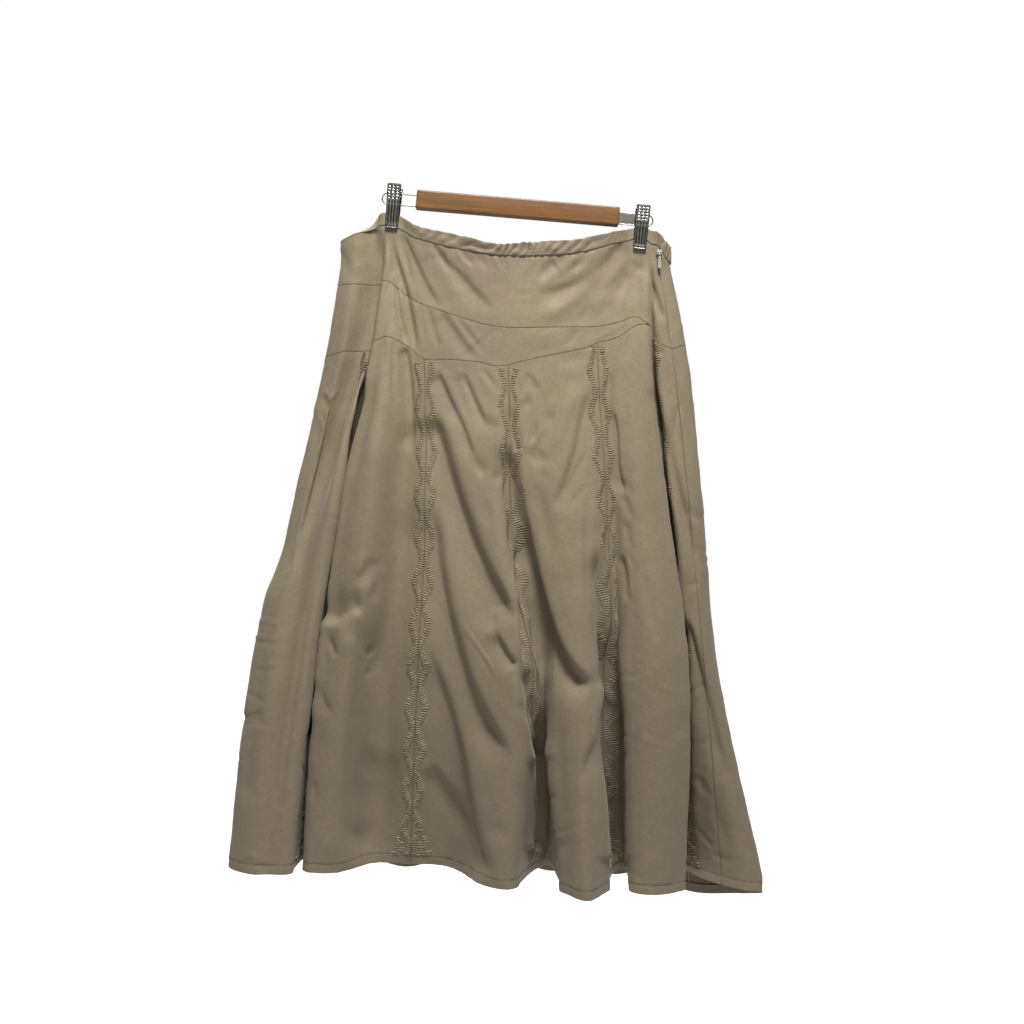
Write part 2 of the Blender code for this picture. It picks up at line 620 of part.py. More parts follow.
def eyed(name, body, low, high, hole, fill):
    """Joins a lug from low to high to a body, with a square hole through it along x."""
    middle = (Vector(low) + Vector(high)) / 2
    through = Vector((high[0] - low[0], hole / 2, hole / 2))
    lug = box(f"{name}_lug", low, high, fill)
    eye = box(f"{name}_eye", middle - through, middle + through, fill)
    for operation, cutter in (("UNION", lug), ("DIFFERENCE", eye)):
        cutter.hide_render = True
        cutter.display_type = "WIRE"
        cutter.parent = body
        cut = body.modifiers.new(operation.lower(), "BOOLEAN")
        cut.operation = operation
        cut.object = cutter
        cut.solver = "EXACT"
    return middle


def rounded_link(name, wide, tall, corner, wire, fill):
    """A wire bent into an upright rounded rectangle, hung from the middle of its top run."""
    half, drop = (wide - wire) / 2, tall - wire
    path = []
    for quarter in range(4):
        x = (half - corner) * (1 if quarter in (0, 3) else -1)
        z = -corner if quarter < 2 else corner - drop
        for turn in (0, 0.5, 1):
            angle = (quarter + turn) * math.pi / 2
            path.append((x + corner * math.cos(angle), 0, z + corner * math.sin(angle)))
    return tube(name, path, wire / 2, 6, fill, closed=True)


def make_zip(metal):
    slider_x, front_y = zip_front()
    across, thick, tall = SLIDER
    face_y = front_y - thick
    plate = box(
        "zip_slider",
        (slider_x - across / 2, face_y, SLIDER_Z - tall / 2),
        (slider_x + across / 2, front_y, SLIDER_Z + tall / 2), metal, 0.4 * MM, 1,
    )
    half_bridge = BRIDGE_WIDE / 2
    half_eye = LUG_HOLE / 2 + LUG_METAL
    pivot = eyed(
        "zip_slider", plate,
        (slider_x - half_bridge, face_y - 2 * half_eye + LUG_METAL, SLIDER_Z - half_eye),
        (slider_x + half_bridge, face_y + LUG_METAL, SLIDER_Z + half_eye),
        LUG_HOLE, metal,
    )

    # the pull hangs from the bridge: an empty on the joint's axis carries link and tab
    hinge = bpy.data.objects.new("zip_pull_hinge", None)
    hinge.location = pivot
    bpy.context.scene.collection.objects.link(hinge)
    link = rounded_link("zip_link", LINK_WIDE, LINK_TALL, LINK_CORNER, LINK_WIRE, metal)
    tab = pull_tab("zip_pull_tab", LINK_WIRE - LINK_TALL, metal)
    for piece in (link, tab):
        piece.parent = hinge


def pull_tab(name, eye_z, metal):
    """A flat tab with rounded ends, curled over at the top round the link's lower run."""
    half = TAB_WIDE / 2
    half_eye = LUG_HOLE / 2 + LUG_METAL
    top = eye_z - half_eye + LUG_METAL
    low = top - TAB_TALL
    turns = np.linspace(0, math.pi, 9)
    outline = [(half * math.cos(t), top - half + half * math.sin(t)) for t in turns]
    outline += [(-half * math.cos(t), low + half - half * math.sin(t)) for t in turns]
    count = len(outline)
    points = [(x, y, z) for y in (-TAB_THICK / 2, TAB_THICK / 2) for x, z in outline]
    faces = [tuple(range(count)), tuple(reversed(range(count, 2 * count)))]
    faces += [(i, count + i, count + (i + 1) % count, (i + 1) % count) for i in range(count)]
    tab = new_object(name, points, faces, metal, smooth=False)
    fix_normals(tab)
    eyed(
        name, tab, (-CURL_WIDE / 2, -half_eye, eye_z - half_eye),
        (CURL_WIDE / 2, half_eye, eye_z + half_eye), LUG_HOLE, metal,
    )
    return tab


# ------------------------------------------------------------------ the model

for old in list(bpy.data.objects):
    bpy.data.objects.remove(old, do_unlink=True)

twill = material("khaki cloth", (0.26, 0.21, 0.14), 0.75)
wood = material("stained wood", (0.28, 0.13, 0.05), 0.5)
chrome = material("chromed steel", (0.75, 0.75, 0.76), 0.2, 1.0)
steel = material("steel wire", (0.5, 0.5, 0.5), 0.35, 1.0)

make_garment(twill)
make_hanger(wood, chrome, steel)
make_zip(chrome)
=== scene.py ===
# %% [markdown]
# # A flared skirt on a clip hanger
#
# A long khaki skirt hangs by its waist from a wooden hanger with two metal clips. The solids of
# the part are already fixed: this script dresses them. Every piece of cloth becomes a fine thin
# sheet on the form of its solid, with the creases, gathers, stitched bands and hem of the real
# skirt. Everything is in metres, +Z is up, +X is the viewer's right and +Y goes away from the
# viewer, as in the solids.

# %% Load the fixed frame
import json
import math

import bmesh
import bpy
import numpy as np
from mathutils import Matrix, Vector

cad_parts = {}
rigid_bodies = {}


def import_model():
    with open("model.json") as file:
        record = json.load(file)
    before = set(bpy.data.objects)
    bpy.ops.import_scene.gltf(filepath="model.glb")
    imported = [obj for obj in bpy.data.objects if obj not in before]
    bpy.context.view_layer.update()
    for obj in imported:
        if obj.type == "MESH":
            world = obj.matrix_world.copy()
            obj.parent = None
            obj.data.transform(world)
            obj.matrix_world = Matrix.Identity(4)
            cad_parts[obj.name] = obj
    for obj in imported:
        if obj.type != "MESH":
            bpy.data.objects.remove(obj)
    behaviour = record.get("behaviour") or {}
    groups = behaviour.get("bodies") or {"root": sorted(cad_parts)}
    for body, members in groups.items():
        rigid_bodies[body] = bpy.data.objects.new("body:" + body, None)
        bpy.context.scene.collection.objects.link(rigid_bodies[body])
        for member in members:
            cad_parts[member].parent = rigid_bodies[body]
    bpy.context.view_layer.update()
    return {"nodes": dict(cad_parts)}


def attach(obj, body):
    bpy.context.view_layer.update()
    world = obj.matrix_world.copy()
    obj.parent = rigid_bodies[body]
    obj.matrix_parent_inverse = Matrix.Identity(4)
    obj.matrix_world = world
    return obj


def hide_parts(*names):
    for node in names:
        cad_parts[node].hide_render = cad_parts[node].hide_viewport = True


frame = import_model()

MM = 0.001


# %% [markdown]
# ## The camera
#
# The camera comes first, because the creases are placed where the photograph shows them: a
# crease is drawn as a path in the picture, and each point of the cloth asks how far from that
# path it is seen. The camera stands 1.3 m in front of the hanger, level, like the photographer.

# %% Camera and its picture
PICTURE = 1024
CAMERA_AT = (-7.4 * MM, -1300 * MM, -360 * MM)
LENS, SENSOR = 39.7, 36.0
FOCAL = LENS / SENSOR * PICTURE

camera_data = bpy.data.cameras.new("camera")
camera_data.lens = LENS
camera_data.sensor_width = SENSOR
camera_data.clip_start = 0.05
camera = bpy.data.objects.new("camera", camera_data)
camera.location = CAMERA_AT
camera.rotation_euler = (math.pi / 2, 0, 0)
bpy.context.scene.collection.objects.link(camera)
bpy.context.scene.camera = camera


def seen_at(points):
    """Pixels at which points are seen: the offset from the camera, times the focal length,
    divided by how far in front of the camera the point is."""
    x, y, z = np.moveaxis(points, -1, 0)
    away = y - CAMERA_AT[1]
    across = PICTURE / 2 + FOCAL * (x - CAMERA_AT[0]) / away
    down = PICTURE / 2 - FOCAL * (z - CAMERA_AT[2]) / away
    return np.stack([across, down], axis=-1)


print("one pixel at the hanger is", round(-CAMERA_AT[1] / FOCAL / MM, 2), "mm")

# %% [markdown]
# ## The hanging cloth
#
# The skirt is one closed tube. A level cut through it is a smooth closed curve through a row of
# fold lines, and each fold line runs from the waist to the hem. The table gives where each line
# is at five heights. The same table shapes the solids, so the fine sheets lie on them.

# %% Fold lines
CLOTH = 1.2 * MM
CASING = 2.6 * MM
HEM_DEPTH = 10 * MM
SEAM_GAP = 0.3 * MM
GRIP_GAP = 0.2 * MM

LEVELS = {"waist": -75, "hip": -180, "thigh": -340, "knee": -540, "hem": -790}
FOLD_LINES = (
    # name                x waist  hip thigh knee  hem   y waist hip thigh knee hem
    ("left_side_turn",    (-205, -223, -264, -308, -335), (6, 8, 6, 2, -6)),
    ("left_panel_crest",  (-188, -204, -241, -285, -308), (-5, -10, -18, -26, -24)),
    ("left_trough",       (-163, -183, -228, -264, -285), (3, -2, -10, -28, -26)),
    ("left_inner_crest",  (-159, -173, -210, -241, -266), (3, -6, -22, -34, -22)),
    ("left_fold_valley",  (-156, -169, -202, -231, -256), (3, 4, 6, 16, 36)),
    ("front_left_edge",   (-152, -164, -193, -220, -240), (-2, -10, -24, -24, -10)),
    ("panel_a_crest",     (-145, -150, -168, -191, -213), (-2, -20, -38, -40, -4)),
    ("panel_a_trough",    (-134, -125, -130, -143, -170), (-3, -9, -16, -8, 40)),
    ("seam_a",            (-120, -108, -107, -115, -129), (-6, -12, -22, -14, 48)),
    ("panel_b_left",      (-88, -79, -81, -87, -88), (-10, -16, -26, -22, 46)),
    ("panel_b_crest",     (-55, -46, -41, -41, -44), (-12, -18, -32, -34, -14)),
    ("panel_b_edge",      (-30, -26, -16, -3, -14), (-12, -20, -36, -46, -26)),
    ("seam_b",            (-12, -12, -5, 17, 20), (-13, -20, -30, -26, 50)),
    ("valley_b",          (2, 2, 6, 27, 37), (-13, -20, -28, -10, 72)),
    ("panel_c_left",      (22, 24, 24, 37, 56), (-13, -20, -32, -32, -28)),
    ("panel_c_crest",     (50, 54, 55, 66, 75), (-12, -20, -36, -48, -48)),
    ("panel_c_right",     (77, 79, 87, 94, 97), (-10, -18, -30, -36, -18)),
    ("seam_c",            (95, 90, 99, 107, 115), (-9, -17, -24, -8, 60)),
    ("valley_c",          (108, 102, 107, 116, 130), (-8, -16, -22, -4, 76)),
    ("panel_d_left",      (123, 115, 118, 126, 134), (-5, -18, -28, -30, -8)),
    ("panel_d_crest",     (137, 132, 137, 153, 157), (-2, -16, -34, -40, -12)),
    ("panel_d_edge",      (147, 146, 161, 186, 187), (-2, -10, -20, -24, 8)),
    ("right_fold_valley", (152, 153, 168, 195, 204), (2, 4, 4, 20, 84)),
    ("right_panel_inner", (156, 163, 177, 201, 222), (0, -2, -4, 0, 62)),
    ("zip_seam",          (162, 177, 194, 213, 242), (1, -2, -6, -4, 44)),
    ("right_side_crest",  (170, 189, 206, 223, 270), (3, 3, 0, 2, 28)),
    ("right_side_turn",   (176, 196, 213, 232, 288), (9, 12, 14, 18, 34)),
    ("back_right_crest",  (168, 182, 196, 218, 264), (14, 26, 44, 70, 98)),
    ("back_right_valley", (150, 158, 168, 184, 212), (7, 20, 34, 52, 104)),
    ("back_crest_2",      (128, 130, 134, 144, 160), (8, 27, 46, 76, 128)),
    ("back_valley_2",     (98, 98, 102, 108, 118), (12, 20, 34, 46, 98)),
    ("back_crest_3",      (66, 66, 68, 72, 80), (14, 26, 46, 72, 124)),
    ("back_valley_3",     (32, 34, 34, 36, 40), (13, 20, 32, 44, 94)),
    ("back_centre_crest", (0, 0, -2, -2, -4), (15, 25, 42, 68, 122)),
    ("back_valley_4",     (-34, -32, -36, -42, -46), (13, 19, 30, 40, 78)),
    ("back_crest_5",      (-66, -66, -72, -82, -92), (14, 25, 44, 68, 116)),
    ("back_valley_5",     (-98, -100, -110, -124, -138), (11, 19, 30, 44, 82)),
    ("back_crest_6",      (-126, -134, -148, -168, -188), (7, 23, 40, 64, 108)),
    ("back_valley_6",     (-150, -162, -184, -210, -234), (8, 19, 30, 48, 76)),
    ("back_left_crest",   (-180, -196, -230, -270, -300), (15, 23, 34, 48, 68)),
)
LINE_COUNT = len(FOLD_LINES)
LINE_AT = {row[0]: i for i, row in enumerate(FOLD_LINES)}
LAST_FRONT_LINE = LINE_AT["right_side_turn"]
LEVEL_HEIGHTS = np.array(sorted(LEVELS.values()), float) * MM
# line, level from the hem up, x or y
PLACES = np.array([row[1:3] for row in FOLD_LINES], float).transpose(0, 2, 1)[:, ::-1] * MM
print(LINE_COUNT, "fold lines round the skirt")

# %% [markdown]
# The seams aren't level: the yoke and the hip band sweep up to the left. A second table gives
# the height of each sewn seam on some of the fold lines.

# %% Seams
SEAM_ROWS = (
    # line               casing  yoke   hip   hem  casing  lean
    # name                 seam  seam  seam  edge  height  degrees
    ("left_side_turn",      -49,  -99, -183, -765, 16, 74),
    ("left_panel_crest",    -42,  -99, -177, -768, 16, 74),
    ("left_trough",         -34,  -98, -175, -768, 16, 45),
    ("left_fold_valley",    -31,  -97, -172, -770, 16, 5),
    ("front_left_edge",     -31,  -96, -167, -770, 16, 0),
    ("panel_a_crest",       -32,  -98, -161, -773, 17, 0),
    ("panel_a_trough",      -37, -110, -172, -775, 17, 0),
    ("seam_a",              -46, -121, -186, -778, 16, 0),
    ("panel_b_left",        -56, -133, -187, -781, 17, 0),
    ("panel_b_crest",       -63, -144, -190, -783, 16, 0),
    ("panel_b_edge",        -67, -149, -195, -785, 14, 0),
    ("valley_b",            -69, -151, -190, -788, 16, 0),
    ("panel_c_crest",       -67, -150, -179, -791, 17, 0),
    ("seam_c",              -58, -149, -168, -793, 16, 0),
    ("panel_d_left",        -50, -143, -160, -795, 15, 0),
    ("panel_d_crest",       -46, -137, -148, -796, 14, 0),
    ("panel_d_edge",        -48, -146, -147, -798, 15, 0),
    ("right_fold_valley",   -52, -157, -157, -799, 17, 0),
    ("zip_seam",            -56, -172, -172, -803, 18, 0),
    ("right_side_crest",    -68, -169, -169, -805, 21, 0),
    ("right_side_turn",     -74, -166, -166, -809, 21, 0),
    ("back_right_crest",    -68, -167, -167, -831, 20, 0),
    ("back_right_valley",   -52, -166, -168, -830, 18, 0),
    ("back_crest_2",        -50, -164, -174, -814, 17, 0),
    ("back_valley_3",       -70, -154, -184, -802, 16, 0),
    ("back_valley_4",       -72, -140, -190, -797, 16, 0),
    ("back_valley_5",       -58, -118, -188, -793, 16, 0),
    ("back_crest_6",        -41, -108, -184, -790, 16, 0),
    ("back_valley_6",       -33, -102, -178, -786, 16, 50),
    ("back_left_crest",     -42, -100, -181, -772, 16, 72),
)
SEAM_COLUMNS = ("casing", "yoke", "hip", "hem", "casing_height", "casing_lean")
SEAM_KNOTS = [LINE_AT[row[0]] for row in SEAM_ROWS] + [LINE_COUNT]
SEAM_VALUES = np.array([row[1:] for row in SEAM_ROWS] + [SEAM_ROWS[0][1:]], float)

# %% [markdown]
# ## Curves and the surface
#
# A smooth curve passes through all its given points: each stretch is a cubic whose slope at a
# point is the mean of the slopes beside it. Level cuts use the centripetal kind of such a
# curve, which never loops between two points that are close together.

# %% Smooth curves
def hermite(a, b, slope_a, slope_b, s):
    """Cubic from a to b: (2s³-3s²+1)a + (s³-2s²+s)slope_a + (3s²-2s³)b + (s³-s²)slope_b."""
    s2 = s * s
    s3 = s2 * s
    start = (2 * s3 - 3 * s2 + 1) * a + (s3 - 2 * s2 + s) * slope_a
    return start + (3 * s2 - 2 * s3) * b + (s3 - s2) * slope_b


def smooth_through(knots, values, at):
    """Smooth curve through values, one row per knot, read at the places in at: a cubic over
    each stretch, with slopes that are the mean of the grades on both sides of a knot."""
    knots, values = np.asarray(knots, float), np.asarray(values, float)
    steps = np.diff(knots)
    grades = np.diff(values, axis=0) / steps.reshape(-1, *[1] * (values.ndim - 1))
    slopes = np.concatenate([grades[:1], (grades[1:] + grades[:-1]) / 2, grades[-1:]])
    at = np.clip(at, knots[0], knots[-1])
    k = np.clip(np.searchsorted(knots, at, side="right") - 1, 0, len(steps) - 1)
    s = (at - knots[k]) / steps[k]
    widen = (slice(None),) * np.ndim(at) + (None,) * (values.ndim - 1)
    s, step = s[widen], steps[k][widen]
    return hermite(values[k], values[k + 1], slopes[k] * step, slopes[k + 1] * step, s)


def ease(t):
    """0 below 0, 1 above 1 and 3t²-2t³ between."""
    t = np.clip(t, 0, 1)
    return t * t * (3 - 2 * t)


def seam(column, u):
    """Height in metres (the lean in degrees) of a column of the seam table at fold line u."""
    which = SEAM_COLUMNS.index(column)
    values = smooth_through(SEAM_KNOTS, SEAM_VALUES[:, which], np.mod(u, LINE_COUNT))
    return values if column == "casing_lean" else values * MM


# %% [markdown]
# The clips hold the cloth flat. Where a jaw grips, the front and the back of the skirt are
# pressed together, and this pinch fades out beside and below the jaws.

# %% Surface of the hanging cloth
ROLL = math.radians(4.87)
CLIP_AT = {"left": -142.5 * MM, "right": 143.5 * MM}
JAW_WIDTH = 16 * MM
JAW_FOOT = -45.5 * MM
GRIP_MARGIN, FADE_BESIDE, FADE_BELOW = 1 * MM, 9 * MM, 26 * MM


def from_hanger(points):
    """Turns points of the hanger's own frame by its tilt: x cos + z sin, y, z cos - x sin."""
    x, y, z = np.moveaxis(np.asarray(points, float), -1, 0)
    cos, sin = math.cos(ROLL), math.sin(ROLL)
    return np.stack([x * cos + z * sin, y, z * cos - x * sin], axis=-1)


def pinch(x, z):
    """1 in a clip's grip, falling as exp(-distance²) beside it and below it."""
    along = x * math.cos(ROLL) - z * math.sin(ROLL)
    up = x * math.sin(ROLL) + z * math.cos(ROLL)
    weight = 0
    for clip_x in CLIP_AT.values():
        beside = np.maximum(np.abs(along - clip_x) - JAW_WIDTH / 2 - GRIP_MARGIN, 0)
        below = np.maximum(JAW_FOOT - GRIP_MARGIN - up, 0)
        weight = np.maximum(weight, np.exp(-((beside / FADE_BESIDE) ** 2 + (below / FADE_BELOW) ** 2)))
    return weight


def level_cut(u, z):
    """x and y on the closed curve at height z: the four fold lines near u are read at that
    height, and a centripetal cubic runs through them."""
    weights = smooth_through(LEVEL_HEIGHTS, np.eye(len(LEVEL_HEIGHTS)), z)[..., None]
    k = np.floor(u).astype(int)
    s = (u - k)[..., None]
    near = [np.sum(weights * PLACES[(k + i) % LINE_COUNT], axis=-2) for i in (-1, 0, 1, 2)]
    before, start, end, after = near
    gaps = [np.sqrt(np.linalg.norm(b - a, axis=-1, keepdims=True) + 1e-9)
            for a, b in zip(near, near[1:])]
    grades = [(b - a) / gap for a, b, gap in zip(near, near[1:], gaps)]
    slope_start = grades[0] - (end - before) / (gaps[0] + gaps[1]) + grades[1]
    slope_end = grades[1] - (after - start) / (gaps[1] + gaps[2]) + grades[2]
    return hermite(start, end, slope_start * gaps[1], slope_end * gaps[1], s)


def middle(u, z):
    """The cloth's middle surface: the level cut at height z, pressed flat by the clips."""
    u = np.mod(u, LINE_COUNT)
    flat = level_cut(u, z)
    x, y = flat[..., 0], flat[..., 1]
    side = np.where(u < LAST_FRONT_LINE + 0.5, -1.0, 1.0)
    weight = pinch(x, z)
    y = y * (1 - weight) + side * (CASING / 2 + GRIP_GAP) * weight
    return np.stack([x, y, z], axis=-1)


def unit(vectors):
    """Vectors divided by their lengths."""
    return vectors / np.maximum(np.linalg.norm(vectors, axis=-1, keepdims=True), 1e-12)


def outward(u, z):
    """Unit normal out of the skirt: the way along the section crossed with the way up."""
    along = middle(u + 0.02, z) - middle(u - 0.02, z)
    up = middle(u, z + 0.5 * MM) - middle(u, z - 0.5 * MM)
    return unit(np.cross(along, up))


def span(first, last):
    """The stretch of u from one named fold line on to another, past the first row if need be."""
    start, stop = float(LINE_AT[first]), float(LINE_AT[last])
    return start, stop + (LINE_COUNT if stop <= start else 0)


def walk(u, height, distance, steps):
    """The u that lies a distance in metres along the cloth from u, towards higher u, at the
    heights height(u): each short step is its length divided by the section's speed there."""
    for _ in range(steps):
        z = height(u)
        speed = np.linalg.norm(middle(u + 0.01, z) - middle(u - 0.01, z), axis=-1) / 0.02
        u = u + distance / steps / speed
    return u


hem_line = middle(np.linspace(0, LINE_COUNT, 2001), np.full(2001, LEVELS["hem"] * MM))
print("round the hem, mm:", round(float(np.linalg.norm(np.diff(hem_line, axis=0), axis=1).sum()) / MM))
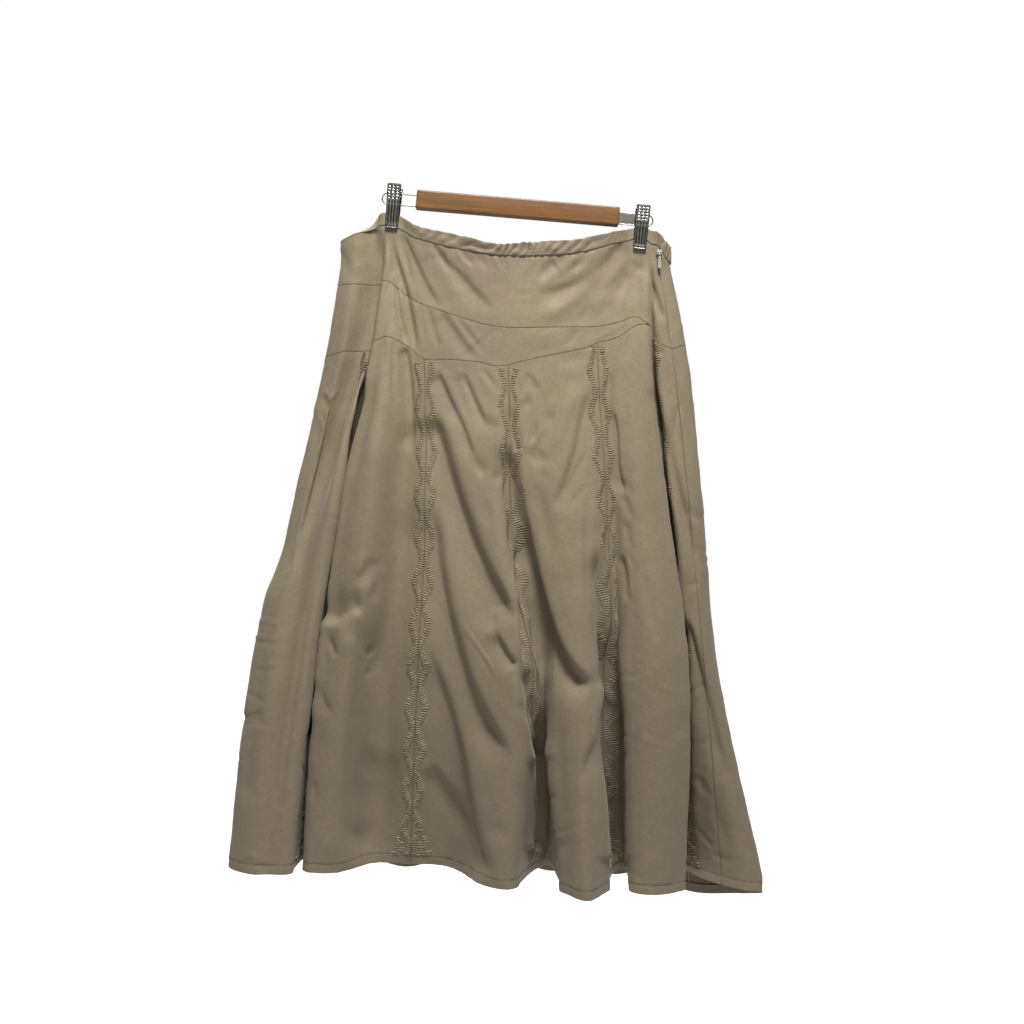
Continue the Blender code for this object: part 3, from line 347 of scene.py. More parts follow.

# %% [markdown]
# ## Creases and drape
#
# Cloth that has been worn and hung shows soft troughs that fan out from the clips, deep slanting
# drapes down the panels, and small sharp creases. Each is one row of a table, under the stretch
# of fold lines in which it lies: its depth in mm, its width in pixels, its lean, the share that
# fades out at its start and at its end, and then the points x,y of the path on which it is seen,
# in pixels of the photograph. A trough takes depth x exp(-(distance/width)²) off the surface,
# and a soft shoulder beside it gives a little back, as pushed cloth does. A crease that leans
# has one steep wall, away from the light from above, and a long slope. A negative depth makes
# a ridge. A second table of tucks lets the cloth's edges lean over the gaps between big folds.
# Placing the creases one by one was chosen over a simulation, which would give other folds.

# %% Crease table
ZONES = {"left": (-1.4, 5.0), "front": (4.3, 21.8), "right": (21.5, 27.6), "back": (27.4, 38.8),
         "panel": (0.2, 4.4)}
CREASES = {
    "front": """
# fans of the yoke and the hip band from the left clip
3.4 3 0 .05 .15  390,230 393,247 398,268 404,288 408,305 411,322 414,337 415,352
3.2 2.4 0 .30 .15  397,274 397,292 399,311 403,328 407,345
1.1 2.9 0 .05 .50  397,233 402,250 408,268 412,292
2.3 4.2 1 .05 .30  402,233 410,246 416,259 423,274 430,288 437,299 444,306
1.4 2.7 0 .10 .40  433,245 439,254 446,265 453,273
2.6 6.5 1 .10 .35  442,247 447,259 456,268 464,276 473,286 482,296 491,305 500,312
2.2 5 1 .15 .25  443,310 450,320 457,330 464,340 471,349 481,358
1.2 2.7 0 .20 .30  456,318 464,328 473,340 484,354
1.4 2.8 0 .20 .20  427,305 431,320 435,335 441,350
-0.6 1.9 0 .20 .20  457,356 470,345 481,336 491,327
-1.1 7.2 0 .20 .50  420,244 444,272 462,300 478,318
# puckers under the casing
1 2.7 0 .10 .50  462,253 468,261 478,265
-0.9 2.2 0 .10 .40  458,253 465,262 474,270
0.9 3.4 0 .10 .50  478,256 484,264 492,268
-0.9 2.2 0 .05 .40  493,257 496,262 499,269
-1 2.9 0 .05 .50  510,256 509,264 510,274
-1.2 3.4 0 .05 .50  533,257 530,266 524,276
2.2 4.8 -1 .10 .40  553,259 546,264 540,271 532,277
-1.4 3.8 0 .05 .40  577,256 569,264 558,271 548,280 536,287
1.4 3.8 0 .30 .40  584,257 578,265 572,272
-1.2 3.4 0 .05 .40  594,252 588,264 578,272 566,279
# fans from the right clip
3.4 7 -1 .10 .25  624,239 613,250 603,261 593,271 581,279 562,286 546,290 528,294
0.9 2.2 0 .30 .30  534,292 524,294 514,295
-2.6 7 0 .20 .40  606,263 592,278 578,293 563,306 546,316 530,321
3 6.5 -1 .10 .50  632,257 621,272 610,285 600,294
1.5 3.6 -1 .30 .30  591,303 584,311 574,322
1 2.9 0 .30 .40  612,290 606,304 602,318
1.2 2.9 0 .20 .40  621,283 614,300 610,316
1.2 2.9 0 .15 .40  629,272 622,291 617,313
0.7 2.7 0 .15 .40  635,268 630,290 626,312
5 6 -1 .05 .30  638,250 636,262 636,276
# hip band, right half
0.9 3.4 0 .30 .30  577,328 572,338 567,348
1.1 6 0 .30 .50  588,354 572,360 552,364
# first front gore
1.1 2.7 0 .10 .40  393,342 393,360 394,385 396,410
0.6 2.9 0 .10 .50  385,342 385,356 384,376
3.6 13 0 .25 .30  397,400 401,440 401,480 399,520 397,560 395,600 393,650 390,700
3.4 4 1 .05 .20  407,347 411,368 413,390 414,412 413,436 411,455
2.2 8.7 1 .20 .50  378,372 374,400 366,440 360,470 354,500
2.8 6 0 .20 .60  376,558 370,568 363,577 354,580 346,580
1.6 4.8 0 .40 .30  375,566 376,584 374,604
8 9 1 .25 .30  365,610 356,611 347,615 338,622 331,629
-2.4 7.2 0 .20 .40  334,618 340,633 347,646 350,662
1.5 2.5 0 .30 .30  331,636 334,648 338,658
1.6 3.6 0 .40 .40  369,655 374,653 380,648
1.4 3.6 0 .40 .40  369,679 373,676 378,671
1.6 4.5 1 .30 .30  323,676 325,692 330,706 337,713
-1 6 0 .30 .40  320,694 321,712 330,722
2.6 14 0 .30 .30  351,660 350,700 348,740 343,780 338,820 334,850
3.6 12 1 .20 .20  401,745 399,775 394,800 386,822 375,843 362,862
1.5 6 0 .40 .40  370,740 374,765 376,790
0.8 1.8 0 .40 .40  317,817 322,820 328,816
1.2 2.7 0 .30 .40  316,778 316,790 314,802
4 14 1 .30 .20  392,600 390,660 392,720 388,780 384,830
8 20 0 .30 .10  381,600 377,660 374,720 370,790 366,870
# second front gore
3.4 5 1 .10 .25  438,371 444,382 449,394 455,407 462,421 468,436 473,450 480,463
2.2 6 0 .40 .40  474,456 480,468 484,478
10.5 13 1 .10 .15  437,411 442,430 448,450 454,472 460,492 467,512 474,532 482,552 491,572 501,590 511,608
    519,620
2.9 5 1 .15 .30  463,370 470,386 476,400 483,415 492,428
-0.9 3.4 0 .15 .40  457,365 463,385 471,408 481,432
1.6 7.2 0 .40 .40  485,418 491,426 497,434
1.1 2.7 0 .20 .30  484,371 490,380 497,389
1.8 4.8 0 .30 .40  492,484 498,476 504,470
1 4.8 0 .40 .40  484,500 487,514 490,534
10.5 13 1 .15 .20  434,497 438,525 441,553 445,580 450,606 457,634 464,660 472,685 482,708 493,728 505,747
    515,766
9 12.5 1 .20 .15  430,640 436,665 443,690 450,712 457,738 463,762 468,788 473,812 479,838 487,862 496,880
5 7.5 1 .20 .30  433,762 440,778 449,792 458,806 464,822 469,838
0.8 1.7 0 .30 .30  439,399 445,397 450,391
-1 1.8 0 .30 .30  458,618 474,640 488,660 498,678
5 5.5 1 .40 .10  496,630 502,642 509,654 518,664
1.4 6 0 .40 .40  486,618 492,622 499,624
1.6 4.8 0 .40 .20  514,700 522,710 529,722
1.6 7.2 0 .40 .40  490,824 500,832 511,842
1.2 4.8 0 .40 .40  514,776 516,794 517,812
-1 3.4 0 .20 .20  473,838 476,852 481,868
0.8 2.2 0 .40 .40  500,560 506,556 511,552
# the valley under seam b and the fold beside it
3 4.8 0 .30 .05  509,405 513,430 518,452
13.5 9.5 1 .10 .10  512,440 516,465 519,490 524,516 530,542 536,568 542,592 548,614 555,634 563,652 572,666
    583,677 596,686
8 4 0 .30 .20  522,530 524,560 525,600 526,640 528,670
7.5 6.5 0 .20 .05  526,664 529,690 533,715 538,738 542,760
12 6 0 .30 .02  538,735 542,762 543,800 541,850
# third front gore
1.6 4.6 1 .30 .30  521,373 530,376 537,384 541,394
-1.1 2.7 0 .30 .30  518,406 524,396 531,387
1.2 2.9 0 .40 .40  525,409 529,404 533,399
1 3.4 0 .30 .30  557,384 553,394 550,404
1.4 6 0 .40 .40  543,410 550,418 556,420
0.9 2.9 0 .30 .30  536,420 534,432 533,442
-0.9 2.2 0 .30 .30  545,425 536,440 529,452
2.2 8 0 .40 .40  545,450 537,457 530,464
4.2 8 -1 .20 .20  588,384 584,402 579,422 575,442 570,460 564,478 558,494 550,509
-1.6 6 0 .20 .30  578,384 569,408 558,434 547,462
0.8 2.7 0 .20 .40  590,446 581,464 572,480 562,498
0.8 2.7 0 .20 .40  590,484 578,496 566,512
1.6 6 0 .30 .40  536,478 539,500 546,526 551,548 552,566
1.1 3.4 0 .30 .30  591,480 587,520 586,556 589,590 594,620
5 10.2 -1 .20 .40  604,690 599,720 593,744 584,766 572,784
0.9 3.4 0 .30 .40  546,782 553,793 563,804
1.1 1.6 0 .15 .30  553,834 564,831 576,826 587,820
1 4.8 0 .40 .40  552,842 560,845 570,842
1 4.8 0 .30 .40  582,848 578,860 572,872
# the valley under seam c
12 5.5 1 .30 .05  600,545 604,575 608,605 610,640 611,690
13.5 6 0 .20 .02  610,620 611,680 611,740 613,800 616,860
# fourth front gore
1.8 3.8 0 .20 .40  612,372 608,392 606,412 607,440
2.8 4 1 .15 .20  613,408 617,424 619,446 620,466 623,482 627,496
1.4 6 0 .40 .40  621,476 624,486 627,494
1.2 3.4 0 .20 .30  621,494 627,506 631,520
1 3.4 0 .30 .30  624,520 628,534 627,550
2.6 3.1 0 .20 .20  621,554 624,570 626,587 626,604
1.4 4.8 0 .20 .40  644,572 648,590 651,612 655,632 657,646
0.7 1.7 0 .20 .20  618,670 626,675 635,676 645,672
-0.8 1.8 0 .20 .30  655,686 667,689 677,693
0.7 2 0 .20 .20  617,739 625,737 631,733
-0.6 2 0 .20 .30  637,735 650,741 663,745 676,753
1 3.4 0 .20 .40  636,732 633,748 627,760 620,769
0.8 3.8 0 .30 .30  634,352 636,372 638,392
0.8 6 0 .40 .40  655,825 651,845 650,862
0.8 2.7 0 .30 .20  628,866 636,874 644,882
""",
    "panel": """
# left side: the hollow from the clip, the strip beside it, and level pulls
3 30 0 .30 .10  343,236 340,290 333,340 321,400 307,460 293,520 280,580 266,640 256,700 250,760 244,830
""",
    "left": """
6 8.5 1 .03 .30  388,229 387,250 384,280 379,310 372,340 362,375 352,404 344,428
10.5 16 1 .35 .30  366,362 352,404 342,432 334,460 325,487 315,515 306,540 297,562 286,586 276,606
1.3 2.9 0 .20 .25  331,500 324,540 314,590 306,625 300,665 293,705 287,750 281,790 275,832
-0.9 2 0 .20 .20  320,387 327,396 334,396 342,389
1.3 3.8 0 .30 .30  319,393 323,403 330,410
-0.7 2 0 .20 .30  313,404 316,418 321,434
1 3.8 0 .30 .40  312,424 313,440 309,456
0.8 3.4 0 .20 .40  287,560 289,570 286,582
-0.8 2 0 .05 .40  272,579 281,573 288,567
-0.8 2.5 0 .10 .40  259,621 270,622 282,624
-1 2 0 .05 .40  255,636 267,640 282,641
0.8 2 0 .10 .40  258,641 270,643 284,643
0.8 2 0 .20 .40  252,669 266,671 280,669
-0.6 2 0 .10 .40  253,664 266,665 284,664
0.9 2.2 0 .05 .40  248,693 256,699 264,701
1.8 4.2 1 .05 .40  241,716 252,714 264,710
-0.9 2 0 .05 .40  240,722 250,719 262,716
1 2.7 0 .20 .40  255,722 262,725 268,722
1 1.8 0 .02 .50  236,757 242,759 250,757
-0.8 1.8 0 .20 .30  255,749 262,745 268,739
0.6 2 0 .20 .30  252,778 260,776 268,773
0.5 6 0 .30 .40  240,770 246,790 258,806
0.7 2 0 .30 .30  292,762 298,766 303,774
0.6 1.6 0 .20 .20  300,516 320,518 342,518
0.9 2.7 0 .30 .30  303,696 298,704 292,708
0.4 7 0 .30 .30  262,650 254,700 250,740
-1 2.7 0 .20 .40  244,858 252,855 262,864
1 3.4 0 .20 .40  258,862 264,868 270,860
0.8 3.4 0 .20 .30  340,250 346,262 348,280
0.8 2.9 0 .20 .30  364,288 362,300 364,314
9 4.8 0 .10 .05  376,330 369,368 360,408 352,442 346,480 341,520 338,560 333,605 326,650 317,700 311,745
""",
    "right": """
# the satin strip left of the zip, the panel below it, and the right side
2.6 3 -1 .05 .20  659,262 661,278 664,295 667,312 668,334 672,350 676,372 681,396
2.9 2.9 0 .20 .30  652,281 656,298 660,311 665,321
-1.2 3.4 0 .20 .30  652,258 654,268 658,278
1.2 2.5 0 .20 .30  656,268 660,276 661,286
-1 3.4 0 .30 .30  657,318 658,330 660,342
1 2.5 0 .20 .30  656,348 660,353 664,348
-0.6 2.2 0 .30 .30  660,385 668,387 675,384
1.3 2.7 0 .20 .30  680,402 676,420 675,440
1.6 3.4 0 .20 .30  671,327 676,321 681,317
1 2.2 0 .20 .30  676,340 680,337 685,334
11 5 0 .15 .10  648,350 651,388 656,430 662,470 667,510 672,550 676,590
3.3 4 0 .15 .30  653,378 657,400 662,425 668,448 673,472 679,496 685,516 691,540 697,562 704,590 710,614
1.6 3.4 0 .20 .40  674,352 680,376 686,404 691,430 694,450
1.8 3.8 0 .30 .10  686,510 695,516 703,522
1.5 2.9 0 .30 .05  692,552 700,551 707,553
1.3 2.7 0 .30 .05  698,559 704,563 711,566
1.2 2.7 0 .30 .40  688,586 694,584 699,578
5.4 6.7 1 .15 .25  683,610 691,628 697,650 703,672 709,694 715,718 721,742 728,766 736,792
1.1 1.7 0 .10 .20  689,695 696,689 703,687 711,690
1.2 3.4 0 .30 .30  697,774 703,786 711,798
1 2 0 .20 .40  696,824 706,839 717,850
1.2 2.7 0 .20 .40  711,853 725,858 742,862
-0.8 2.2 0 .20 .40  719,787 725,781 732,779
0.8 2.2 0 .20 .40  700,745 707,741 714,738
1 4.8 0 .30 .40  716,800 722,830 730,850
""",
    "back": """
# the hidden back: the same kind of fans and drapes, unevenly placed
1.4 3.4 1 .05 .30  396,232 404,252 414,280 424,312 430,340
1.2 3.8 1 .05 .40  402,233 424,256 448,280 472,300
1.8 6.4 -1 .10 .30  626,240 606,262 584,280 556,290 530,296
1.3 4.8 -1 .10 .50  636,256 620,280 604,304 590,326
-1.3 7.2 0 .20 .40  606,264 582,292 552,314
0.9 2.9 0 .30 .30  486,302 520,297 560,300
1 2.9 0 .05 .50  500,258 504,266 512,274
1.2 3.4 0 .05 .50  556,258 548,266 538,276
4.4 10.2 -1 .15 .25  604,380 596,430 584,490 570,550 560,600 548,650 534,690
3.7 8.7 1 .15 .25  452,380 462,430 474,490 486,550 500,600 512,640
5.1 10.9 1 .15 .25  500,470 506,530 516,590 530,650 546,700 566,740
3.7 10.2 -1 .20 .25  640,540 630,620 612,690 592,750
3.7 10.2 1 .20 .25  392,440 396,520 406,600 420,670 436,730
3.7 10.2 1 .20 .30  330,520 326,600 330,680 344,750 352,800
0.9 1.9 0 .30 .30  430,760 448,754 466,758
1 1.7 0 .30 .30  560,800 574,808 592,806
1 2 0 .30 .30  640,700 652,692 668,696
1 2 0 .30 .30  300,700 316,708 330,704
2.7 7.2 1 .20 .30  536,740 540,790 550,850
2.7 7.2 1 .20 .30  660,560 672,640 690,720
0.9 2.7 0 .30 .40  344,620 360,628 378,622
0.9 2.2 0 .30 .40  480,440 492,448 508,444
""",
}
WRINKLE_WIDTH = 1.3  # pixels
WRINKLE_HEIGHT = 0.40 * MM
WRINKLES = (
    # y of a fine level ridge low on the second gore, where it starts and ends in x
    (766, 477, 503), (771, 474, 500), (776, 480, 506), (781, 474, 498), (786, 478, 505), (791, 473, 497),
    (797, 477, 506), (803, 476, 508), (808, 480, 502), (814, 482, 510),
)


def crease_rows():
    """Zone, five numbers and path of every crease. A line of points alone goes on with the path
    above it."""
    rows = []
    for zone, table in CREASES.items():
        for words in (line.split() for line in table.splitlines() if line and line[0] != "#"):
            points = [tuple(map(float, word.split(","))) for word in words if "," in word]
            if len(points) == len(words):
                rows[-1][-1].extend(points)
            else:
                rows.append((zone, *map(float, words[:5]), points))
    return rows


def zone_weight(u, zone):
    """1 inside a stretch of fold lines, easing to 0 over half a line at each end."""
    first, last = ZONES[zone]
    place = np.mod(u + 2, LINE_COUNT) - 2
    return ease(np.minimum(place - first, last - place) / 0.5)


def path_profile(pixels, path, width):
    """Distance to a smooth path in widths, positive on its right as one walks down it, and how
    far along it, 0 to 1: the nearest of the path's short straight stretches counts."""
    knots = np.linspace(0, 1, len(path))
    places = smooth_through(knots, np.array(path, float), np.linspace(0, 1, 4 * len(path)))
    low, high = places.min(0) - 5 * width, places.max(0) + 5 * width
    near = np.all((pixels > low) & (pixels < high), axis=-1)
    distance = np.full(pixels.shape[:-1], 9.0)
    along = np.zeros(pixels.shape[:-1])
    if near.any():
        seen = pixels[near][:, None]
        start, step = places[:-1], np.diff(places, axis=0)
        t = np.clip(np.sum((seen - start) * step, -1) / np.sum(step * step, -1), 0, 1)
        off = seen - start - t[..., None] * step
        length = np.linalg.norm(off, axis=-1)
        best = length.argmin(1)
        pick = np.arange(len(best)), best
        turn = step[best, 0] * off[pick][:, 1] - step[best, 1] * off[pick][:, 0]
        distance[near] = length[pick] * np.where(turn < 0, 1, -1) / width
        along[near] = (best + t[pick]) / len(step)
    return distance, along


def trough(distance, lean):
    """Share of a crease's depth at a distance in widths. An even crease is exp(-distance²) less
    two low shoulders. A leaning one has a steep wall on one side, where its dark band is seen,
    a low crest beyond it, and a long gentle slope on the other side."""
    if lean == 0:
        return np.exp(-distance ** 2) - 0.28 * np.exp(-((np.abs(distance) - 1.9) / 0.9) ** 2)
    s = distance * lean + 0.5
    steep = 1.22 * np.exp(-(s / 0.62) ** 2) - 0.22 * np.exp(-(s / 2.4) ** 2)
    return np.where(s > 0, steep, np.exp(-(s / 1.9) ** 2))


CREASE_ROWS = crease_rows()


def crease_relief(u, points):
    """Height in metres that the creases add: depth x trough x fades at both ends x zone."""
    pixels = seen_at(points)
    relief = np.zeros(u.shape)
    for zone, depth, width, lean, fade_in, fade_out, path in CREASE_ROWS:
        weight = zone_weight(u, zone)
        if not weight.any():
            continue
        distance, along = path_profile(pixels, path, width)
        fade = ease(along / fade_in) * ease((1 - along) / fade_out)
        relief -= depth * MM * trough(distance, lean) * fade * weight
    for y, start, end in WRINKLES:
        path = ((start, y + 1), ((start + end) / 2, y - 1), (end, y + 2))
        distance, along = path_profile(pixels, path, WRINKLE_WIDTH)
        fade = ease(along / 0.4) * ease((1 - along) / 0.4)
        relief += WRINKLE_HEIGHT * np.exp(-distance ** 2) * fade * zone_weight(u, "front")
    return relief


# Where two folds meet, the edges of the cloth lean over the gap between them.
TUCKS = (
    # fold line, mm past it in a straight line, mm outwards, width mm, from height, to height, fade mm
    ("left_inner_crest", 0, -5, 7, -60, -200, 50), ("left_fold_valley", 0, -4, 5, -70, -270, 50),
    ("front_left_edge", -7, 4.5, 9, -150, -770, 90), ("left_inner_crest", 7, 3.0, 8, -230, -770, 90),
    ("front_left_edge", -4, 3.5, 7, -420, -560, 60), ("panel_b_edge", 14, 3.5, 12, -520, -800, 120),
    ("panel_c_left", -12, 5.0, 12, -560, -800, 100), ("panel_d_left", -9, 4.0, 9, -430, -810, 110),
    ("panel_c_right", 12, 3.0, 10, -480, -810, 110), ("panel_d_edge", 7, 4.0, 8, -180, -810, 90),
    ("right_panel_inner", -6, 3.0, 7, -240, -700, 90), ("right_fold_valley", 1, -2.5, 3, -50, -200, 40),
    ("panel_d_edge", 1, 4.0, 7, -54, -210, 26), ("front_left_edge", 1, 5.5, 5, -46, -210, 30),
    ("panel_d_edge", -20, -2.0, 8, -70, -170, 30),
)


def tuck_relief(u, z, base):
    """Height in metres that the tucks add: outwards x exp(-((chord - past)/width)²) x fades,
    where the chord is the straight distance from the fold line at the same height."""
    relief = np.zeros(np.shape(u))
    for line, past, out, width, top, low, fade in TUCKS:
        beside = np.mod(u - LINE_AT[line] + LINE_COUNT / 2, LINE_COUNT) - LINE_COUNT / 2
        near = (np.abs(beside) < 2.5) & (z < top * MM) & (z > (low - fade) * MM)
        if near.any():
            from_line = base[near] - middle(np.full(near.sum(), float(LINE_AT[line])), z[near])
            chord = np.linalg.norm(from_line, axis=-1) * np.sign(beside[near]) / MM
            faded = ease((top - z[near] / MM) / fade) * ease((z[near] / MM - low + fade) / fade)
            relief[near] += out * MM * np.exp(-((chord - past) / width) ** 2) * faded
    return relief


print(len(CREASE_ROWS), "creases and", len(TUCKS), "tucks placed by hand")

# %% [markdown]
# No cloth is quite even between its creases. A sum of slow waves in scattered directions, with
# fixed seeds, gives each panel its own slight unevenness.

# %% Slight unevenness
def uneven(across, down, seed, longest, count=14):
    """Sum of cosines of scattered directions and lengths (longest to a quarter of it, metres),
    divided by the root of their count, so it stays near -1 to 1."""
    dice = np.random.default_rng(seed)
    turn = dice.uniform(0, math.pi, count)
    wave = 2 * math.pi / (longest * dice.uniform(0.25, 1, count))
    start = dice.uniform(0, 2 * math.pi, count)
    total = np.zeros(np.shape(across))
    for angle, number, phase in zip(turn, wave, start):
        total = total + np.cos(number * (across * math.cos(angle) + down * math.sin(angle)) + phase)
    return total / math.sqrt(count)


# %% [markdown]
# ## The stitched bands
#
# Every seam between two gores is decorated: on each side a wavy line of short ribs swings out
# from the seam and back again, so the two make a chain of leaves. The ribs' outer ends stand
# about 10.4 mm from the seam, swinging by some 3 mm once every 49 mm, and their inner ends
# come close to it.

# %% Wave of the stitched bands
BAND_EDGE = 10.4 * MM
BAND_SWING = 2.9 * MM
BAND_PERIOD = 49 * MM
RIB_HALF = 3.5 * MM
RIB_PITCH = 2.75 * MM
BAND_START = -193 * MM  # a height at which the wave stands furthest out
BAND_SEAMS = {
    "left_fold": ("left_fold_valley", 0.0), "a": ("seam_a", 0.0), "b": ("seam_b", 2.0),
    "c": ("seam_c", -5.0), "right_fold": ("right_fold_valley", 9.0),
    "back_1": ("back_right_valley", 4.0), "back_2": ("back_valley_2", 12.0),
    "back_3": ("back_centre_crest", 20.0), "back_4": ("back_valley_5", 6.0),
    "back_5": ("back_valley_6", 15.0),
}


def rib_half(z):
    """Half a rib's length in metres: it grows by a third from below the hip to the knee."""
    return RIB_HALF * (1 + 0.35 * ease((-250 * MM - z) / (250 * MM)))


def band_wave(z, shift):
    """Distance of the ribs' outer ends from the seam: a mean edge + swing x cos of the height."""
    swing = BAND_SWING * (0.8 + 0.45 * ease((-230 * MM - z) / (120 * MM)))
    return BAND_EDGE + swing * np.cos(2 * math.pi * (z - BAND_START - shift * MM) / BAND_PERIOD)


def band_height(distance, z, shift):
    """1 on the ribbed part of a band, easing to 0 just outside the ribs."""
    return ease((band_wave(z, shift) + 1.2 * MM - distance) / (2.4 * MM))


# %% [markdown]
# ## Laying the sheets
#
# Each piece is a grid of two parameters: across, from one seam to the other, and down. Columns
# are spaced by real distance, with four narrow ones beside each seam, where the edge rolls in.

# %% Grid of a piece
EDGE_STEPS = np.array([0.0, 0.5, 1.1, 2.0, 3.4]) * MM
HEM_STEPS = np.array([0.0, 0.5, 1.5, 3.5, 6.0, 8.6, 9.5, 10.0, 10.5, 11.5, 13.5]) * MM
NARROWEST = 1.5 * MM  # a piece ends where its top and bottom seams come this close
COARSE = 1.0


def spaced(length, spacing, start_steps, end_steps):
    """Where to put lines over a length: fixed steps at both ends and even steps between, as a
    fixed distance and a share of what is left."""
    between = max(2, round((length - start_steps[-1] - end_steps[-1]) / spacing / COARSE))
    share = np.linspace(0, 1, between + 1)[1:-1]
    fixed = np.concatenate([start_steps, np.full(len(share), start_steps[-1]), -end_steps[::-1]])
    share = np.concatenate([np.zeros(len(start_steps)), share, np.ones(len(end_steps))])
    return fixed[:, None], share[:, None]


def split(lengths, fixed, share):
    """Distances over each length: scaled fixed part + share of the rest. The fixed steps
    shrink where a length is too short for them."""
    used = fixed[share == 0].max() - fixed[share == 1].min()
    scale = np.minimum(1, lengths / (1.2 * used))
    rest = np.where(share == 1, lengths, share * (lengths - scale * used))
    return scale * fixed + rest


def lay(first, last, top, bottom, spacing):
    """Fold-line places u and heights z of a piece's grid, and every point's distances to the
    piece's four edges. A row's length is summed up along the cloth and split by distance."""
    start, stop = span(first, last)
    dense = np.linspace(start, stop, int((stop - start) * 30) + 1)
    dense = dense[seam(top, dense) - seam(bottom, dense) > NARROWEST]
    high, low = seam(top, dense), seam(bottom, dense)
    low_steps = HEM_STEPS if bottom == "hem" else EDGE_STEPS
    rows = spaced(float(np.mean(high - low)), spacing[1] * MM, EDGE_STEPS, low_steps)
    z = high - split(high - low, *rows)
    steps = np.linalg.norm(np.diff(middle(np.broadcast_to(dense, z.shape), z), axis=1), axis=-1)
    arc = np.concatenate([np.zeros((len(z), 1)), np.cumsum(steps, axis=1)], axis=1)
    width = arc[:, -1]
    columns = spaced(float(width.max()), spacing[0] * MM, EDGE_STEPS, EDGE_STEPS)
    across = split(width, *columns).T
    u = np.array([np.interp(row, a, dense) for row, a in zip(across, arc)])
    z = np.array([np.interp(row, dense, heights) for row, heights in zip(u, z)])
    edges = {"first": across, "last": width[:, None] - across,
             "top": seam(top, u) - z, "bottom": z - seam(bottom, u)}
    return u, z, edges


def grid_faces(rows, columns):
    """Corner numbers of a grid's quads, wound so that the outside looks out."""
    index = np.arange(rows * columns).reshape(rows, columns)
    return np.stack([index[:-1, :-1], index[1:, :-1], index[1:, 1:], index[:-1, 1:]], -1).reshape(-1, 4)


def new_mesh(name, points, faces):
    """A smooth mesh object from arrays of points and corner numbers, riding on the skirt."""
    mesh = bpy.data.meshes.new(name)
    mesh.from_pydata(np.asarray(points).reshape(-1, 3).tolist(), [], [list(map(int, f)) for f in faces])
    mesh.update()
    mesh.shade_smooth()
    thing = bpy.data.objects.new(name, mesh)
    bpy.context.scene.collection.objects.link(thing)
    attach(thing, "skirt")
    return thing


def put_values(thing, name, values):
    """One number per point, kept on the mesh as an attribute that materials can read."""
    layer = thing.data.attributes.new(name, "FLOAT", "POINT")
    layer.data.foreach_set("value", np.ascontiguousarray(values, np.float32).reshape(-1))


def put_map(thing, across, down):
    """The piece's own map: how far across and down the cloth each point lies, in metres."""
    layer = thing.data.uv_layers.new(name="weave")
    corner = np.empty(len(thing.data.loops), np.int32)
    thing.data.loops.foreach_get("vertex_index", corner)
    pairs = np.stack([np.reshape(across, -1)[corner], np.reshape(down, -1)[corner]], -1)
    layer.data.foreach_set("uv", pairs.astype(np.float32).reshape(-1))


def thicken(thing, thickness):
    """Gives an open sheet its thickness, inwards from its outer face."""
    wall = thing.modifiers.new("thickness", "SOLIDIFY")
    wall.thickness = thickness
    wall.offset = -1


def draw_in(grid, top=True, bottom=True):
    """Pulls a grid's edges in, towards the next row or column: level seams by a quarter of a
    seam's gap and side seams by a twelfth, so that no light falls through those."""
    grid = grid.copy()
    for at_edge, edge, inner in ((top, 0, 1), (bottom, -1, -2)):
        if at_edge:
            grid[edge] += unit(grid[inner] - grid[edge]) * SEAM_GAP / 4
    for edge, inner in ((0, 1), (-1, -2)):
        grid[:, edge] += unit(grid[:, inner] - grid[:, edge]) * SEAM_GAP / 12
    return grid


# %% [markdown]
# ## Relief of a panel
#
# The height over the plain drape is the sum of the creases, the unevenness, the raised bands
# beside the gore seams, the rolled-in edges along every seam, and the puckers of the hem.
# Where the cloth behind is near, a trough only approaches it: depth becomes room x
# tanh(depth / room), so the front never reaches through the back.

# %% Relief
EDGE_ROLL = 0.30 * MM
EDGE_WIDE = 0.5 * MM
SHEET = 0.8 * MM
HEM_RADIUS = 0.95 * MM
HEM_MAP_STEP = 2 * MM  # how far the cloth's map goes on with each row of the turned-up hem
ROOM_BEHIND = np.array([78, 46, 31, 19, 9]) * MM  # y of the nearest cloth behind, from the hem up


def bands_beside(z, ends, edges):
    """Height of the ribbed bands beside a gore's two seams, 0 where a seam has no band."""
    total = np.zeros(np.shape(z))
    for line, shift in BAND_SEAMS.values():
        for edge, name in zip(("first", "last"), ends):
            if name == line:
                total = np.maximum(total, band_height(edges[edge], z, shift))
    return total * ease((edges["bottom"] - 11 * MM) / (3 * MM))


